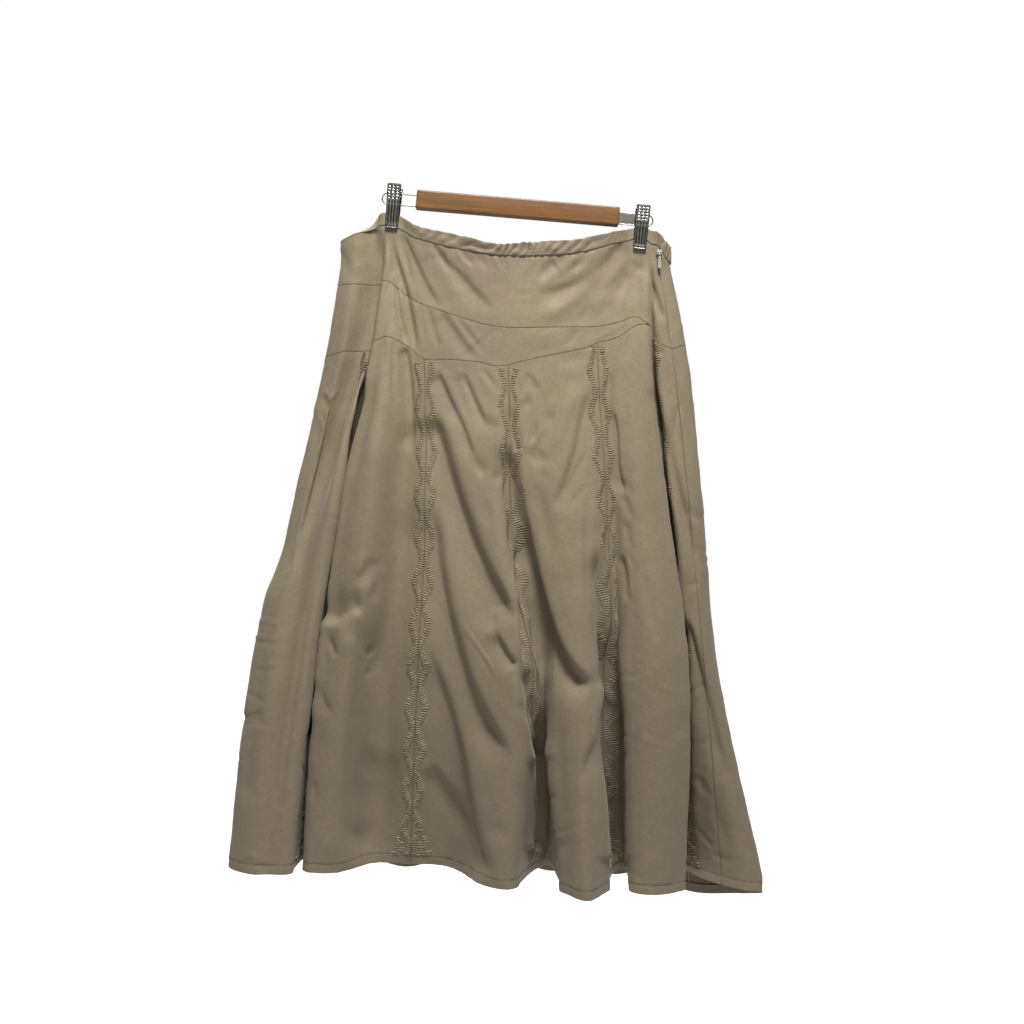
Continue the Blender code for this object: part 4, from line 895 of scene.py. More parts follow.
def relief_of(u, z, base, edges, ends, hem, seed):
    """How far the cloth stands out from its plain drape, and the values its material reads."""
    held = pinch(base[..., 0], z)
    band = bands_beside(z, ends, edges) if hem else np.zeros(np.shape(u))
    relief = crease_relief(u, base) + tuck_relief(u, z, base)
    seams = [edges["first"], edges["last"], edges["top"]] + ([] if hem else [edges["bottom"]])
    nearest = np.maximum(np.min(seams, axis=0), 0)
    free = ease(nearest / (8 * MM))
    relief += free * 0.28 * MM * uneven(edges["first"], z, seed, 90 * MM)
    relief += free * 0.10 * MM * uneven(edges["first"], z, seed + 50, 22 * MM)
    relief += band * MM * (0.30 + 0.20 * free * uneven(edges["first"], z, seed + 9, 9 * MM))
    relief *= 1 - held
    room = np.interp(z, LEVEL_HEIGHTS, ROOM_BEHIND) - base[..., 1] - 3 * MM
    room = np.where(np.mod(u + 2, LINE_COUNT) < LAST_FRONT_LINE + 2.5, np.maximum(room, MM), 1.0)
    relief = np.where(relief < 0, room * np.tanh(relief / room), relief)
    relief -= EDGE_ROLL * np.exp(-(nearest / EDGE_WIDE) ** 2) * (1 - 0.5 * held)
    stitch = np.zeros(np.shape(u))
    if hem:
        stitch = np.exp(-((edges["bottom"] - HEM_DEPTH) / (0.8 * MM)) ** 2)
        turned = ease((13 * MM - edges["bottom"]) / (4 * MM))
        puckers = 0.25 * MM * uneven(edges["first"], 0.3 * z, seed + 70, 16 * MM)
        relief += free * turned * puckers - 0.4 * MM * stitch
    # The edge, band and stitch values let the material paint shade along the seams, between the ribs and in
    # the hem's stitch groove.
    return relief, {"edge": np.exp(-(nearest / (0.65 * MM)) ** 2), "band": band, "stitch": stitch}


def way_out(u, z, normal):
    """The way in which relief moves the cloth: its normal, but straight to the front in the
    left fold above the hip, where the normals of the fold's flanks would cross."""
    front = np.array([0, -1.0, 0])
    fold = ease((u - 1.2) / 0.8) * ease((5.2 - u) / 0.7) * ease((z + 250 * MM) / (60 * MM))
    return unit(normal + (front - normal) * fold[..., None])


def turn_up(points, normal):
    """The hem: the sheet goes round a half circle under the edge and up again inside."""
    down = unit(points[-1] - points[-3])
    turns = np.radians([35, 70, 105, 140, 180])[:, None, None]
    round_edge = points[-1] + HEM_RADIUS * (np.sin(turns) * down + (np.cos(turns) - 1) * normal[-1])
    inside = points[-3:-9:-1] - 2 * HEM_RADIUS * normal[-3:-9:-1]
    return np.concatenate([points, round_edge, inside])


PANELS = {}


def panel(name, first, last, top, bottom, spacing, seed):
    """One flat-sewn piece between two fold lines and two named seams: the grid on the hanging
    cloth, moved out by its relief."""
    hem = bottom == "hem"
    u, z, edges = lay(first, last, top, bottom, spacing)
    base, normal = middle(u, z), outward(u, z)
    relief, values = relief_of(u, z, base, edges, (first, last), hem, seed)
    points = base + normal * CLOTH / 2 + way_out(np.mod(u, LINE_COUNT), z, normal) * relief[..., None]
    points = draw_in(points, bottom=not hem)
    across = edges["first"] - edges["first"].mean(axis=1, keepdims=True)
    down = edges["top"]
    PANELS[name] = dict(ends=(first, last), seed=seed, z_last=z[:, -1], width=edges["last"][:, 0])
    if hem:
        points = turn_up(points, normal)
        extra = len(points) - len(down)
        more = HEM_MAP_STEP * np.arange(1, extra + 1)[:, None]
        across = np.concatenate([across, np.repeat(across[-1:], extra, 0)])
        down = np.concatenate([down, down[-1:] + more])
        values = {k: np.concatenate([v, np.zeros((extra, v.shape[1]))]) for k, v in values.items()}
    thing = new_mesh(name + "_cloth", points, grid_faces(*points.shape[:2]))
    put_map(thing, across, down)
    for label, numbers in values.items():
        put_values(thing, label, numbers)
    thicken(thing, SHEET)
    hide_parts(name)
    return thing


# %% [markdown]
# ## The gores, the hip band and the yoke
#
# Twelve gores flare from the hip to the hem. Above them lies a band that follows the hip, and
# above that the yoke. The front gets a finer grid, because its creases are small and sharp.

# %% Gores, hip band and yoke
FRONT_EDGES = ("back_left_crest", "zip_seam")
BACK_EDGES = ("zip_seam", "back_left_crest")
GORES = (
    ("gore_side_left", "back_left_crest", "left_fold_valley"),
    ("gore_front_1", "left_fold_valley", "seam_a"),
    ("gore_front_2", "seam_a", "seam_b"),
    ("gore_front_3", "seam_b", "seam_c"),
    ("gore_front_4", "seam_c", "right_fold_valley"),
    ("gore_side_right", "right_fold_valley", "zip_seam"),
    ("gore_back_1", "zip_seam", "back_right_valley"),
    ("gore_back_2", "back_right_valley", "back_valley_2"),
    ("gore_back_3", "back_valley_2", "back_centre_crest"),
    ("gore_back_4", "back_centre_crest", "back_valley_5"),
    ("gore_back_5", "back_valley_5", "back_valley_6"),
    ("gore_back_6", "back_valley_6", "back_left_crest"),
)
FINE, PLAIN = (2.3, 3.4), (4.0, 5.5)
# piece: widest, length in metres and area in square metres of its flat cut
cloth_pieces = {}
for side, ends, spacing in (("front", FRONT_EDGES, FINE), ("back", BACK_EDGES, PLAIN)):
    for part, top, bottom, seed in (("yoke", "casing", "yoke", 3), ("hip_band", "yoke", "hip", 5)):
        name = f"{part}_{side}"
        cloth_pieces[name] = panel(name, *ends, top, bottom, spacing, seed)
for seed, (name, first, last) in enumerate(GORES, start=11):
    cloth_pieces[name] = panel(name, first, last, "hip", "hem", PLAIN if "back" in name else FINE, seed)
print(len(cloth_pieces), "flat-sewn pieces")

# %% [markdown]
# ## The ruched waist
#
# The waist is a casing: one strip of cloth folded over an elastic, which draws it up into short
# slanting ruches. The profile runs up the front, over the top and down inside, and each ruche is
# a wave along it whose phase and height wander, so no two are alike.

# %% Casing of the waist
GATHERS_A_SIDE = 36
COLUMNS_A_GATHER = 9
RUCHES_A_GATHER = 1.28
RUCHE_DEPTH = 3.9 * MM
ZIP_V = 0.15 * MM  # how far the casing's end leans away from the zip at its top


def ruches(turn, up, x, seed):
    """Height of the ruches: a rounded wave that slants with up, its phase shifted by a slow
    unevenness, strongest in the middle of the waist."""
    wander = 0.75 * uneven(turn, 0.3 * up, seed, 9.0)
    phase = np.mod(RUCHES_A_GATHER * turn - 1.15 * up + wander, 1)
    fine = np.mod(3.1 * turn - 2.1 * up + 1.7 * wander, 1)
    wave = np.sin(math.pi * phase ** 0.6) + 0.22 * np.sin(math.pi * fine ** 0.7) - 0.1
    strength = 0.62 + 0.38 * np.exp(-((x - 8 * MM) / (80 * MM)) ** 2)
    strength = strength * (1 - 0.7 * np.exp(-((x - 103 * MM) / (24 * MM)) ** 4))
    strength = strength * (1 - 0.45 * ease((x - 150 * MM) / (10 * MM)))
    strength = strength * (0.75 + 0.25 * uneven(turn, up, seed + 2, 3.0))
    from_end = np.clip(np.minimum(turn, GATHERS_A_SIDE - turn) / 1.2, 0, 1)
    return wave * strength * from_end


def casing(name, first, last, seed):
    """The folded strip: front face, half circle at the top edge, inside face."""
    start, stop = span(first, last)
    u = np.linspace(start, stop, int(GATHERS_A_SIDE * COLUMNS_A_GATHER / COARSE) + 1)
    foot_z = seam("casing", u)
    foot, normal = middle(u, foot_z), outward(u, foot_z)
    held = pinch(foot[:, 0], foot_z)
    lean = np.radians(seam("casing_lean", u)) * (1 - held)
    rise = np.stack([np.zeros_like(u), np.sin(lean), np.cos(lean)], axis=-1)
    face = unit(normal - rise * np.sum(normal * rise, axis=-1, keepdims=True))
    turn = (u - start) / (stop - start) * GATHERS_A_SIDE
    height = seam("casing_height", u) + 0.5 * MM * uneven(turn, 0, seed + 4, 5.0) * (1 - held)
    height -= 0.4 * MM
    clear = 1.3 * SEAM_GAP - 0.2 * MM * np.sin(lean)
    half = CASING / 2
    up = np.linspace(0, 1, 15)[:, None]
    over = np.radians(np.linspace(0, 180, 10)[1:-1])[:, None]
    climb = np.concatenate([clear + (height - half - clear) * up, height - half + half * np.sin(over),
                            clear + (height - half - clear) * up[::-1]])
    off = np.concatenate([half + 0 * up, half * np.cos(over), -half + 0 * up]) + 0 * u
    outside = np.concatenate([1 + 0 * up, 0.5 + 0.5 * np.cos(over), 0.0 * up])
    share = climb / height
    wave = ruches(turn, share, foot[:, 0], seed) * (1 - held) ** 2
    calm = (1 - 0.85 * np.sin(lean)) * (0.5 + 0.5 * ease(share / 0.4))
    off = off + RUCHE_DEPTH * (wave - 0.25) * (0.35 + 0.65 * outside) * calm
    off -= 0.45 * MM * np.exp(-((climb - clear) / (0.7 * MM)) ** 2) * np.where(outside > 0.9, 1, -1)
    zip_end = GATHERS_A_SIDE if last == "zip_seam" else 0
    apart = np.clip(1 - np.abs(turn - zip_end) / 2.0, 0, 1) * (-1 if zip_end else 1)
    climb = climb + 0.9 * MM * (wave - 0.4) * ease((share - 0.6) / 0.4)
    points = foot + rise * climb[..., None] + face * off[..., None]
    points[..., 0] += ZIP_V * apart * share
    points = draw_in(points, top=False, bottom=False)
    thing = new_mesh(name + "_cloth", points, grid_faces(*points.shape[:2])[:, ::-1])
    along = np.concatenate([[0], np.cumsum(np.linalg.norm(np.diff(foot, axis=0), axis=1))])
    down = climb + np.where(outside > 0.5, 0, 2 * height - 2 * climb)
    put_map(thing, np.broadcast_to(along, share.shape), down)
    # Painted shade: the casing is darkened at its seam with the yoke and in the valleys between the ruches.
    seam_painted_shade = np.exp(-((climb - clear) / (0.7 * MM)) ** 2)
    between = 0.75 * (1 - held) * np.clip(1 - wave / 0.45, 0, 1) ** 1.5
    put_values(thing, "edge", np.maximum(0.6 * seam_painted_shade, between))
    put_values(thing, "band", 0 * share)
    put_values(thing, "stitch", 0 * share)
    thicken(thing, SHEET)
    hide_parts(name)
    return thing


for name, ends, seed in (("waistband_front", FRONT_EDGES, 31), ("waistband_back", BACK_EDGES, 41)):
    cloth_pieces[name] = casing(name, *ends, seed)
print("ruches a side:", round(RUCHES_A_GATHER * GATHERS_A_SIDE))

# %% [markdown]
# ## Ribs of the stitched bands
#
# Each rib is a small spindle: a few rings that swell and shrink along its length, closed at both
# ends. They stand side by side on the wave and square to it. All ribs of one seam are a single
# mesh, worked out as one array: rib by rib, ring by ring, corner by corner.

# %% Ribs
RIB_HALF_WIDE = 0.9 * MM
RIB_HIGH = 1.1 * MM
RING = np.array([(-1.0, -0.35), (-0.62, 0.62), (0.0, 1.0), (0.62, 0.62), (1.0, -0.35)])
STATIONS = np.array([-1.0, -0.66, 0.0, 0.66, 1.0])
SWELL = np.array([0.0, 0.78, 1.0, 0.78, 0.0])


def width_at(panel_name, z):
    """Width of a finished gore at a height."""
    made = PANELS[panel_name]
    return np.interp(z, made["z_last"][::-1], made["width"][::-1])


def on_gore(panel_name, u, z, first, last, lift=0.0):
    """Points and normals on a finished gore, at the distances first and last from its seams."""
    made = PANELS[panel_name]
    base, normal = middle(u, z), outward(u, z)
    edges = {"first": first, "last": last, "top": seam("hip", u) - z, "bottom": z - seam("hem", u)}
    place = np.where(u < -2, u + LINE_COUNT, u)
    relief, _ = relief_of(place, z, base, edges, made["ends"], True, made["seed"])
    return base + normal * (CLOTH / 2 + relief + lift)[..., None], normal


def round_stations(points, normal, half_wide, high):
    """Corners of spindles: a ring round each station of each row of points."""
    along = unit(points[:, -1] - points[:, 0])[:, None]
    beside = np.cross(normal, np.broadcast_to(along, normal.shape))
    wide = half_wide * SWELL[:, None] * RING[:, 0]
    high = high * SWELL[:, None] * RING[:, 1]
    return (points[:, :, None] + beside[:, :, None] * wide[..., None]
            + normal[:, :, None] * high[..., None])


def spindles(panel_name, edge, centre, z, lean_across, lean_down, size):
    """Corners of a row of ribs: centre is each rib's distance from the seam, and the two leans
    are its direction on the cloth."""
    reach = rib_half(z[:, None]) * size[:, None] * STATIONS
    near = np.maximum(centre[:, None] + reach * lean_across[:, None], 0.8 * MM)
    heights = z[:, None] + reach * lean_down[:, None]
    at_first = edge == "first"
    line = float(LINE_AT[PANELS[panel_name]["ends"][0 if at_first else 1]])
    u = walk(np.full(heights.shape, line), lambda _: heights, near * (1 if at_first else -1), 6)
    far = width_at(panel_name, heights) - near
    sides = (near, far) if at_first else (far, near)
    return round_stations(*on_gore(panel_name, u, heights, *sides), RIB_HALF_WIDE, RIB_HIGH)


def spindle_faces(count):
    """Faces of the spindles: five rings of five corners, the first and last shrunk to a point."""
    rings, corners = len(STATIONS), len(RING)
    ring = np.arange(rings * corners).reshape(rings, corners)
    beside = np.roll(ring, -1, axis=1)
    quads = np.stack([ring[:-1], beside[:-1], beside[1:], ring[1:]], -1).reshape(-1, 4)
    return (np.arange(count)[:, None, None] * rings * corners + quads).reshape(-1, 4)


def chain(panel_name, edge, line, shift, seed):
    """The ribs of one side of a seam: equal steps along the wave, each rib square to it."""
    dice = np.random.default_rng(seed)
    top = float(seam("hip", float(line))) - 4 * MM
    low = float(seam("hem", float(line))) + 13 * MM
    z = np.linspace(top, low, 3000)
    centre = band_wave(z, shift) - rib_half(z)
    length = np.concatenate([[0], np.cumsum(np.hypot(np.diff(z), np.diff(centre)))])
    at = np.arange(0, length[-1], RIB_PITCH)
    z, centre = np.interp(at, length, z), np.interp(at, length, centre)
    slope = np.gradient(centre, z)
    norm = np.hypot(1, slope)
    size = dice.uniform(0.85, 1.1, len(z))
    centre = centre + dice.uniform(-0.4, 0.4, len(z)) * MM
    rows = [spindles(panel_name, edge, centre, z, 1 / norm, -slope / norm, size)]
    for number in range(4):
        heights = np.arange(low - 1 * MM, low + 62 * MM, RIB_PITCH * 1.15) + dice.uniform(-0.4, 0.4) * MM
        place = (4.5 + 5.6 * number) * MM
        reach = (8 + 14 * np.clip(1 - (heights - low) / (62 * MM), 0, 1) ** 1.3) * MM
        free = np.abs(np.interp(heights, z[::-1], centre[::-1]) - place) > RIB_HALF * 1.9
        heights = heights[(place < reach) & free]
        if len(heights):
            tilt = dice.uniform(-0.35, 0.35, len(heights))
            spots = place + dice.uniform(-0.9, 0.9, len(heights)) * MM
            rows.append(spindles(panel_name, edge, spots, heights, np.cos(tilt), np.sin(tilt),
                                 dice.uniform(0.6, 0.95, len(heights))))
    return np.concatenate(rows)


def merge_points(thing, distance=0.005 * MM):
    """Joins corners that share a place, so a spindle's ends are closed points, and turns all
    faces outwards."""
    made = bmesh.new()
    made.from_mesh(thing.data)
    bmesh.ops.remove_doubles(made, verts=made.verts, dist=distance)
    bmesh.ops.dissolve_degenerate(made, dist=distance, edges=made.edges)
    bmesh.ops.recalc_face_normals(made, faces=made.faces)
    made.to_mesh(thing.data)
    made.free()
    thing.data.shade_smooth()


rib_pieces = []
rib_count = 0
for number, (label, (line_name, shift)) in enumerate(BAND_SEAMS.items()):
    sides = [(name, edge) for name, first, last in GORES
             for edge, end in (("first", first), ("last", last)) if end == line_name]
    ribs = np.concatenate([chain(name, edge, LINE_AT[line_name], shift, 100 + 7 * number + i)
                           for i, (name, edge) in enumerate(sides)])
    thing = new_mesh(f"stitched_band_{label}", ribs, spindle_faces(len(ribs)))
    merge_points(thing)
    rib_pieces.append(thing)
    rib_count += len(ribs)
print("ribs:", rib_count)

# %% [markdown]
# ## Hem stitches
#
# A machine stitch holds the hem 10 mm above its edge. From the outside it is a row of short
# dashes lying in a slight groove: each dash is the same spindle, only thinner.

# %% Hem stitches
STITCH_LONG, STITCH_PITCH, STITCH_THICK, STITCH_LIFT = 1.9 * MM, 3.1 * MM, 0.28 * MM, 0.12 * MM


def hem_stitches(panel_name):
    """Corners of one gore's stitches: a spindle every pitch, laid level in the hem's groove."""
    line = float(LINE_AT[PANELS[panel_name]["ends"][0]])
    width = float(width_at(panel_name, float(seam("hem", line)) + HEM_DEPTH))
    at = np.arange(2 * MM, width - 2 * MM, STITCH_PITCH)
    reach = at[:, None] + STITCH_LONG / 2 * STATIONS
    u = walk(np.full(reach.shape, line), lambda u: seam("hem", u) + HEM_DEPTH, reach, 40)
    placed = on_gore(panel_name, u, seam("hem", u) + HEM_DEPTH, reach, width - reach, STITCH_LIFT)
    return round_stations(*placed, STITCH_THICK, STITCH_THICK)


stitches = np.concatenate([hem_stitches(name) for name, _, _ in GORES])
hem_thread = new_mesh("hem_stitches", stitches, spindle_faces(len(stitches)))
merge_points(hem_thread)
print("hem stitches:", len(stitches))

# %% [markdown]
# ## The hanger
#
# A bar of stained wood carries a bent wire at each end, and on each wire sits a clip. The bar is
# a rounded rectangle carried along a straight path. Its end rings shrink in a quarter circle,
# so that the ends are rounded too.

# %% Bar
BAR_LENGTH, BAR_HEIGHT, BAR_DEPTH, BAR_ROUND = 234 * MM, 21.5 * MM, 12 * MM, 2 * MM


def rounded_outline(wide, tall, corner, steps=6):
    """Points round a rectangle with round corners, each a quarter circle of that radius."""
    turns = np.radians(np.linspace(0, 90, steps + 1))
    points = []
    for quarter, (x, z) in enumerate([(1, 1), (-1, 1), (-1, -1), (1, -1)]):
        angle = turns + quarter * math.pi / 2
        points.append(np.stack([x * (wide / 2 - corner) + corner * np.cos(angle),
                                z * (tall / 2 - corner) + corner * np.sin(angle)], -1))
    return np.concatenate(points)


def capped(name, rings):
    """A closed solid from rings of points: quads between them and a flat face at each end."""
    count, corners = rings.shape[:2]
    ring = np.arange(count * corners).reshape(count, corners)
    beside = np.roll(ring, -1, axis=1)
    quads = np.stack([ring[:-1], beside[:-1], beside[1:], ring[1:]], -1).reshape(-1, 4).tolist()
    thing = new_mesh(name, rings, quads + [ring[0][::-1].tolist(), ring[-1].tolist()])
    merge_points(thing, 1e-7)
    return thing


def bar_rings():
    """Rings along x: at an end the ring draws in by r(1 - cos) while x goes on by r sin."""
    turn = np.radians(np.linspace(90, 0, 6))
    end = np.stack([-BAR_LENGTH / 2 + BAR_ROUND * (1 - np.sin(turn)), BAR_ROUND * (1 - np.cos(turn))], -1)
    straight = np.linspace(-BAR_LENGTH / 2 + BAR_ROUND, BAR_LENGTH / 2 - BAR_ROUND, 60)[1:-1]
    places = np.concatenate([end, np.stack([straight, 0 * straight], -1), end[::-1] * (-1, 1)])
    rings = []
    for x, inset in places:
        corner = max(BAR_ROUND - inset, 0.02 * MM)
        outline = rounded_outline(BAR_DEPTH - 2 * inset, BAR_HEIGHT - 2 * inset, corner)
        rings.append(np.stack([np.full(len(outline), x), outline[:, 0], outline[:, 1] - BAR_HEIGHT / 2], -1))
    return np.array(rings)


rings = bar_rings()
rings[..., 1] *= 1 + 0.006 * np.sin(rings[..., 0] / (23 * MM))
bar = capped("wooden_bar", from_hanger(rings))
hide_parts("hanger_bar")
print("bar faces:", len(bar.data.polygons))

# %% [markdown]
# The wires and the clip springs are tubes: a circle carried along a path, held square to it. The
# frame at each point comes from the path's own direction and one steady sideways vector, which
# is enough for paths that never run along that vector.

# %% Wires
WIRE_THICK, WIRE_HIGH, WIRE_LOW, WIRE_REACH = 1.5 * MM, -5.6 * MM, -18.4 * MM, 157 * MM
WIRE_MIDDLE = (WIRE_HIGH + WIRE_LOW) / 2


def tube_rings(path, radius, sides, steady=(0, 1, 0)):
    """Rings of points round a path: centre + radius (cos a · one + sin a · two)."""
    path = np.asarray(path, float)
    way = unit(np.gradient(path, axis=0))
    one = unit(np.cross(way, np.broadcast_to(steady, way.shape)))
    two = np.cross(way, one)
    angle = np.linspace(0, 2 * math.pi, sides, endpoint=False)
    circle = np.cos(angle)[:, None] * one[:, None] + np.sin(angle)[:, None] * two[:, None]
    return path[:, None] + radius * circle


def wire_path(side):
    """Two level runs and the half circle that joins them."""
    radius = (WIRE_HIGH - WIRE_LOW) / 2
    bend = WIRE_REACH - WIRE_THICK / 2 - radius
    turns = np.linspace(math.pi / 2, -math.pi / 2, 33)
    run = np.linspace(BAR_LENGTH / 2 - 1.5 * MM, bend, 10)[:-1]
    x = np.concatenate([run, bend + radius * np.cos(turns), run[::-1]])
    z = np.concatenate([np.full(9, WIRE_HIGH), WIRE_MIDDLE + radius * np.sin(turns), np.full(9, WIRE_LOW)])
    return np.stack([side * x, 0 * x, z], -1)


for side, label in ((-1, "left"), (1, "right")):
    rings = tube_rings(wire_path(side), WIRE_THICK / 2, 14)
    wire = capped(f"wire_{label}", from_hanger(rings))
    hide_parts(f"hanger_wire_{label}")
print("wires reach", round(WIRE_REACH / MM), "mm from the middle")

# %% [markdown]
# ## The clips
#
# A clip is two pressed jaws with a spring between them. The finger grip has rows of small oval
# dents, the shank below has upright flutes, and the foot is turned out and carries a dark pad.
# Each jaw is a sheet over width and height: its distance from the middle follows a profile, and
# dents and flutes are added to it.

# %% Clip jaws
JAW_METAL, SPRING_LENGTH = 1.2 * MM, 12 * MM
COIL_TURNS, COIL_RADIUS, COIL_WIRE = 7, 4.4 * MM, 0.75 * MM
FLUTE_PITCH, FLUTE_HIGH, DENT_DEEP = 3.4 * MM, 0.6 * MM, 0.55 * MM
JAW_PROFILE = np.array((
    (6.0, 9.4), (4.2, 9.1), (2.4, 8.8), (0.6, 8.4), (-1.2, 8.0), (-3.0, 7.6), (-4.8, 7.2),
    (-6.6, 6.9), (-8.4, 6.5), (-12.0, 5.7), (-17.0, 4.6), (-20.5, 3.1), (-43.0, 3.1),
    (-44.2, 3.6), (-45.5, 4.8),
)) * MM
DENT_ROWS = np.array([1.2, -2.0, -5.2, -8.4, -11.6]) * MM
DENT_PLACES = np.array([-4.6, 0.0, 4.6]) * MM
DENT_HALF_WIDE, DENT_HALF_TALL = 1.75 * MM, 1.05 * MM
JAW_SIDES = (("front", -1), ("back", 1))
PAD_OFF, PAD_HEIGHT = 5.15 * MM, -43.9 * MM


def jaw_face(x, z):
    """How far the outer face of a jaw stands from the middle plane: the smooth profile, minus
    the dents, plus the flutes, rounded off at both sides."""
    knots = JAW_PROFILE[::-1]
    stand = np.interp(z, knots[:, 0], knots[:, 1]) + JAW_METAL
    dents = np.zeros(np.broadcast_shapes(x.shape, z.shape))
    for height in DENT_ROWS:
        for place in DENT_PLACES:
            far = ((x - place) / DENT_HALF_WIDE) ** 2 + ((z - height) / DENT_HALF_TALL) ** 2
            dents = np.maximum(dents, np.exp(-far ** 2))
    fluted = ease((-13.5 * MM - z) / (2 * MM)) * ease((z + 41.5 * MM) / (2 * MM))
    flutes = 0.5 + 0.5 * np.cos(2 * math.pi * x / FLUTE_PITCH)
    flutes = FLUTE_HIGH * flutes * fluted * ease((7.6 * MM - np.abs(x)) / MM)
    rounded = ease((np.abs(x) - 6.6 * MM) / (1.6 * MM)) ** 1.5
    return stand - DENT_DEEP * dents + flutes - 0.9 * MM * rounded, dents


def jaw(name, clip_x, side, node):
    """One jaw: side -1 is in front, 1 behind. It narrows a little towards both its ends."""
    z = np.concatenate([np.linspace(3.4, -14, 58), np.linspace(-14, -41, 30)[1:],
                        np.linspace(-41, -45.5, 12)[1:]]) * MM
    x, z = np.meshgrid(np.linspace(-8, 8, 49) * MM, z)
    stand, dents = jaw_face(x, z)
    narrow = 1 - 0.07 * ease((-20 * MM - z) / (26 * MM)) - 0.10 * ease((z - 1.8 * MM) / (1.6 * MM)) ** 2
    points = np.stack([clip_x + x * narrow, side * stand, z], -1)
    if side > 0:
        points = points[:, ::-1]
    thing = new_mesh(name, from_hanger(points), grid_faces(*points.shape[:2]))
    # Painted shade: the chrome is made dark in its dents, along its rim and in the flute grooves.
    border = np.maximum(ease((np.abs(x) - 6.7 * MM) / (0.8 * MM)), ease((z - 2.2 * MM) / (0.8 * MM)))
    grooves = ease((0.28 - np.cos(math.pi * x / FLUTE_PITCH) ** 2) / 0.2)
    grooves = grooves * ease((-14 * MM - z) / (1.5 * MM)) * ease((z + 42 * MM) / MM)
    wear_and_painted_shade = np.clip(np.maximum(np.maximum(dents, border), grooves * (np.abs(x) < 7 * MM)), 0, 1)
    put_values(thing, "dent", wear_and_painted_shade if side < 0 else wear_and_painted_shade[:, ::-1])
    thicken(thing, JAW_METAL)
    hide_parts(node)
    return thing


def helix(clip_x, turns, radius):
    """Path of a coil spring along the bar: x goes on evenly while the angle turns."""
    t = np.linspace(0, 1, turns * 20)
    angle = 2 * math.pi * turns * t
    x = clip_x + (t - 0.5) * (SPRING_LENGTH - 1.6 * MM)
    return np.stack([x, radius * np.cos(angle), WIRE_MIDDLE + radius * np.sin(angle)], -1)


def foot_pad(name, clip_x, side):
    """The dark pad along the foot of a jaw: a rounded strip."""
    outline = rounded_outline(1.5 * MM, 2.6 * MM, 0.6 * MM, 4)
    x = np.linspace(-7.0, 7.0, 8) * MM
    ends = np.sqrt(np.clip(1 - (np.abs(x) / (7.02 * MM)) ** 12, 0, 1))
    ends = ends[:, None]
    rings = np.stack([np.broadcast_to((clip_x + x)[:, None], (8, len(outline))),
                      side * PAD_OFF + outline[:, 0] * ends, PAD_HEIGHT + outline[:, 1] * ends], -1)
    return capped(name, from_hanger(rings))


for label, clip_x in CLIP_AT.items():
    for place, side in JAW_SIDES:
        jaw(f"jaw_{label}_{place}", clip_x, side, f"clip_{label}_{place}")
    rings = tube_rings(helix(clip_x, COIL_TURNS, COIL_RADIUS), COIL_WIRE, 8, (1, 0, 0))
    coil = capped(f"coil_{label}", from_hanger(rings))
    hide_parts(f"clip_{label}_spring")
    for place, side in JAW_SIDES:
        foot_pad(f"foot_pad_{label}_{place}", clip_x, side)
print("clips:", len(CLIP_AT), "with", len(DENT_ROWS) * len(DENT_PLACES), "dents a jaw")

# %% [markdown]
# ## Materials
#
# The cloth is a fine olive-brown twill with a faint sheen. Its colour is a soft mix of greenish
# and brownish patches, with painted shade along seams, in ruche valleys, between ribs, in the
# hem's stitch groove and low on the skirt. A group named woven surface gives the diagonal lines
# and the slight nap, and is used by the cloth and by the thread.

# %% Material tools
def linear(red, green, blue):
    """Screen colours 0 to 255 as the shader's own: ((c/255 + 0.055)/1.055) to the power 2.4."""
    value = np.array([red, green, blue]) / 255
    value = np.where(value <= 0.04045, value / 12.92, ((value + 0.055) / 1.055) ** 2.4)
    return (*value.tolist(), 1.0)


def start_material(name):
    """A new node material, its node tree and its shader."""
    made = bpy.data.materials.new(name)
    made.use_nodes = True
    return made, made.node_tree, made.node_tree.nodes["Principled BSDF"]


def add(tree, kind, **settings):
    """A node of a kind, with its settings; a setting that names an input sets that socket."""
    node = tree.nodes.new(kind)
    for key, value in settings.items():
        if key.startswith("in_"):
            node.inputs[key[3:].replace("_", " ")].default_value = value
        else:
            setattr(node, key, value)
    return node


def feed(tree, *pairs):
    """Each pair is what goes in and an input socket: an output is linked, a value is set."""
    for what, socket in pairs:
        if isinstance(what, bpy.types.NodeSocket):
            tree.links.new(what, socket)
        else:
            socket.default_value = what


def finish_shader(tree, shader, **inputs):
    """Feeds a node's inputs, named with _ for a space, with outputs or values."""
    feed(tree, *((what, shader.inputs[name.replace("_", " ")]) for name, what in inputs.items()))


def new_group(name, inputs, outputs):
    """A node group with number sockets: inputs as name: value, outputs as names."""
    tree = bpy.data.node_groups.new(name, "ShaderNodeTree")
    for label, value in inputs.items():
        socket = tree.interface.new_socket(label, in_out="INPUT", socket_type="NodeSocketFloat")
        socket.default_value = value
    for label in outputs:
        tree.interface.new_socket(label, in_out="OUTPUT", socket_type="NodeSocketFloat")
    return tree, tree.nodes.new("NodeGroupInput"), tree.nodes.new("NodeGroupOutput")


def place_group(tree, group, **inputs):
    """A node group put into a material, with its own values."""
    node = add(tree, "ShaderNodeGroup", node_tree=group)
    finish_shader(tree, node, **inputs)
    return node


def maths(tree, operation, one, two=0.0):
    """A Math node of two inputs, each a socket or a number."""
    node = add(tree, "ShaderNodeMath", operation=operation)
    feed(tree, (one, node.inputs[0]), (two, node.inputs[1]))
    return node.outputs[0]


def times(tree, one, two):
    """A product of two sockets or numbers."""
    return maths(tree, "MULTIPLY", one, two)


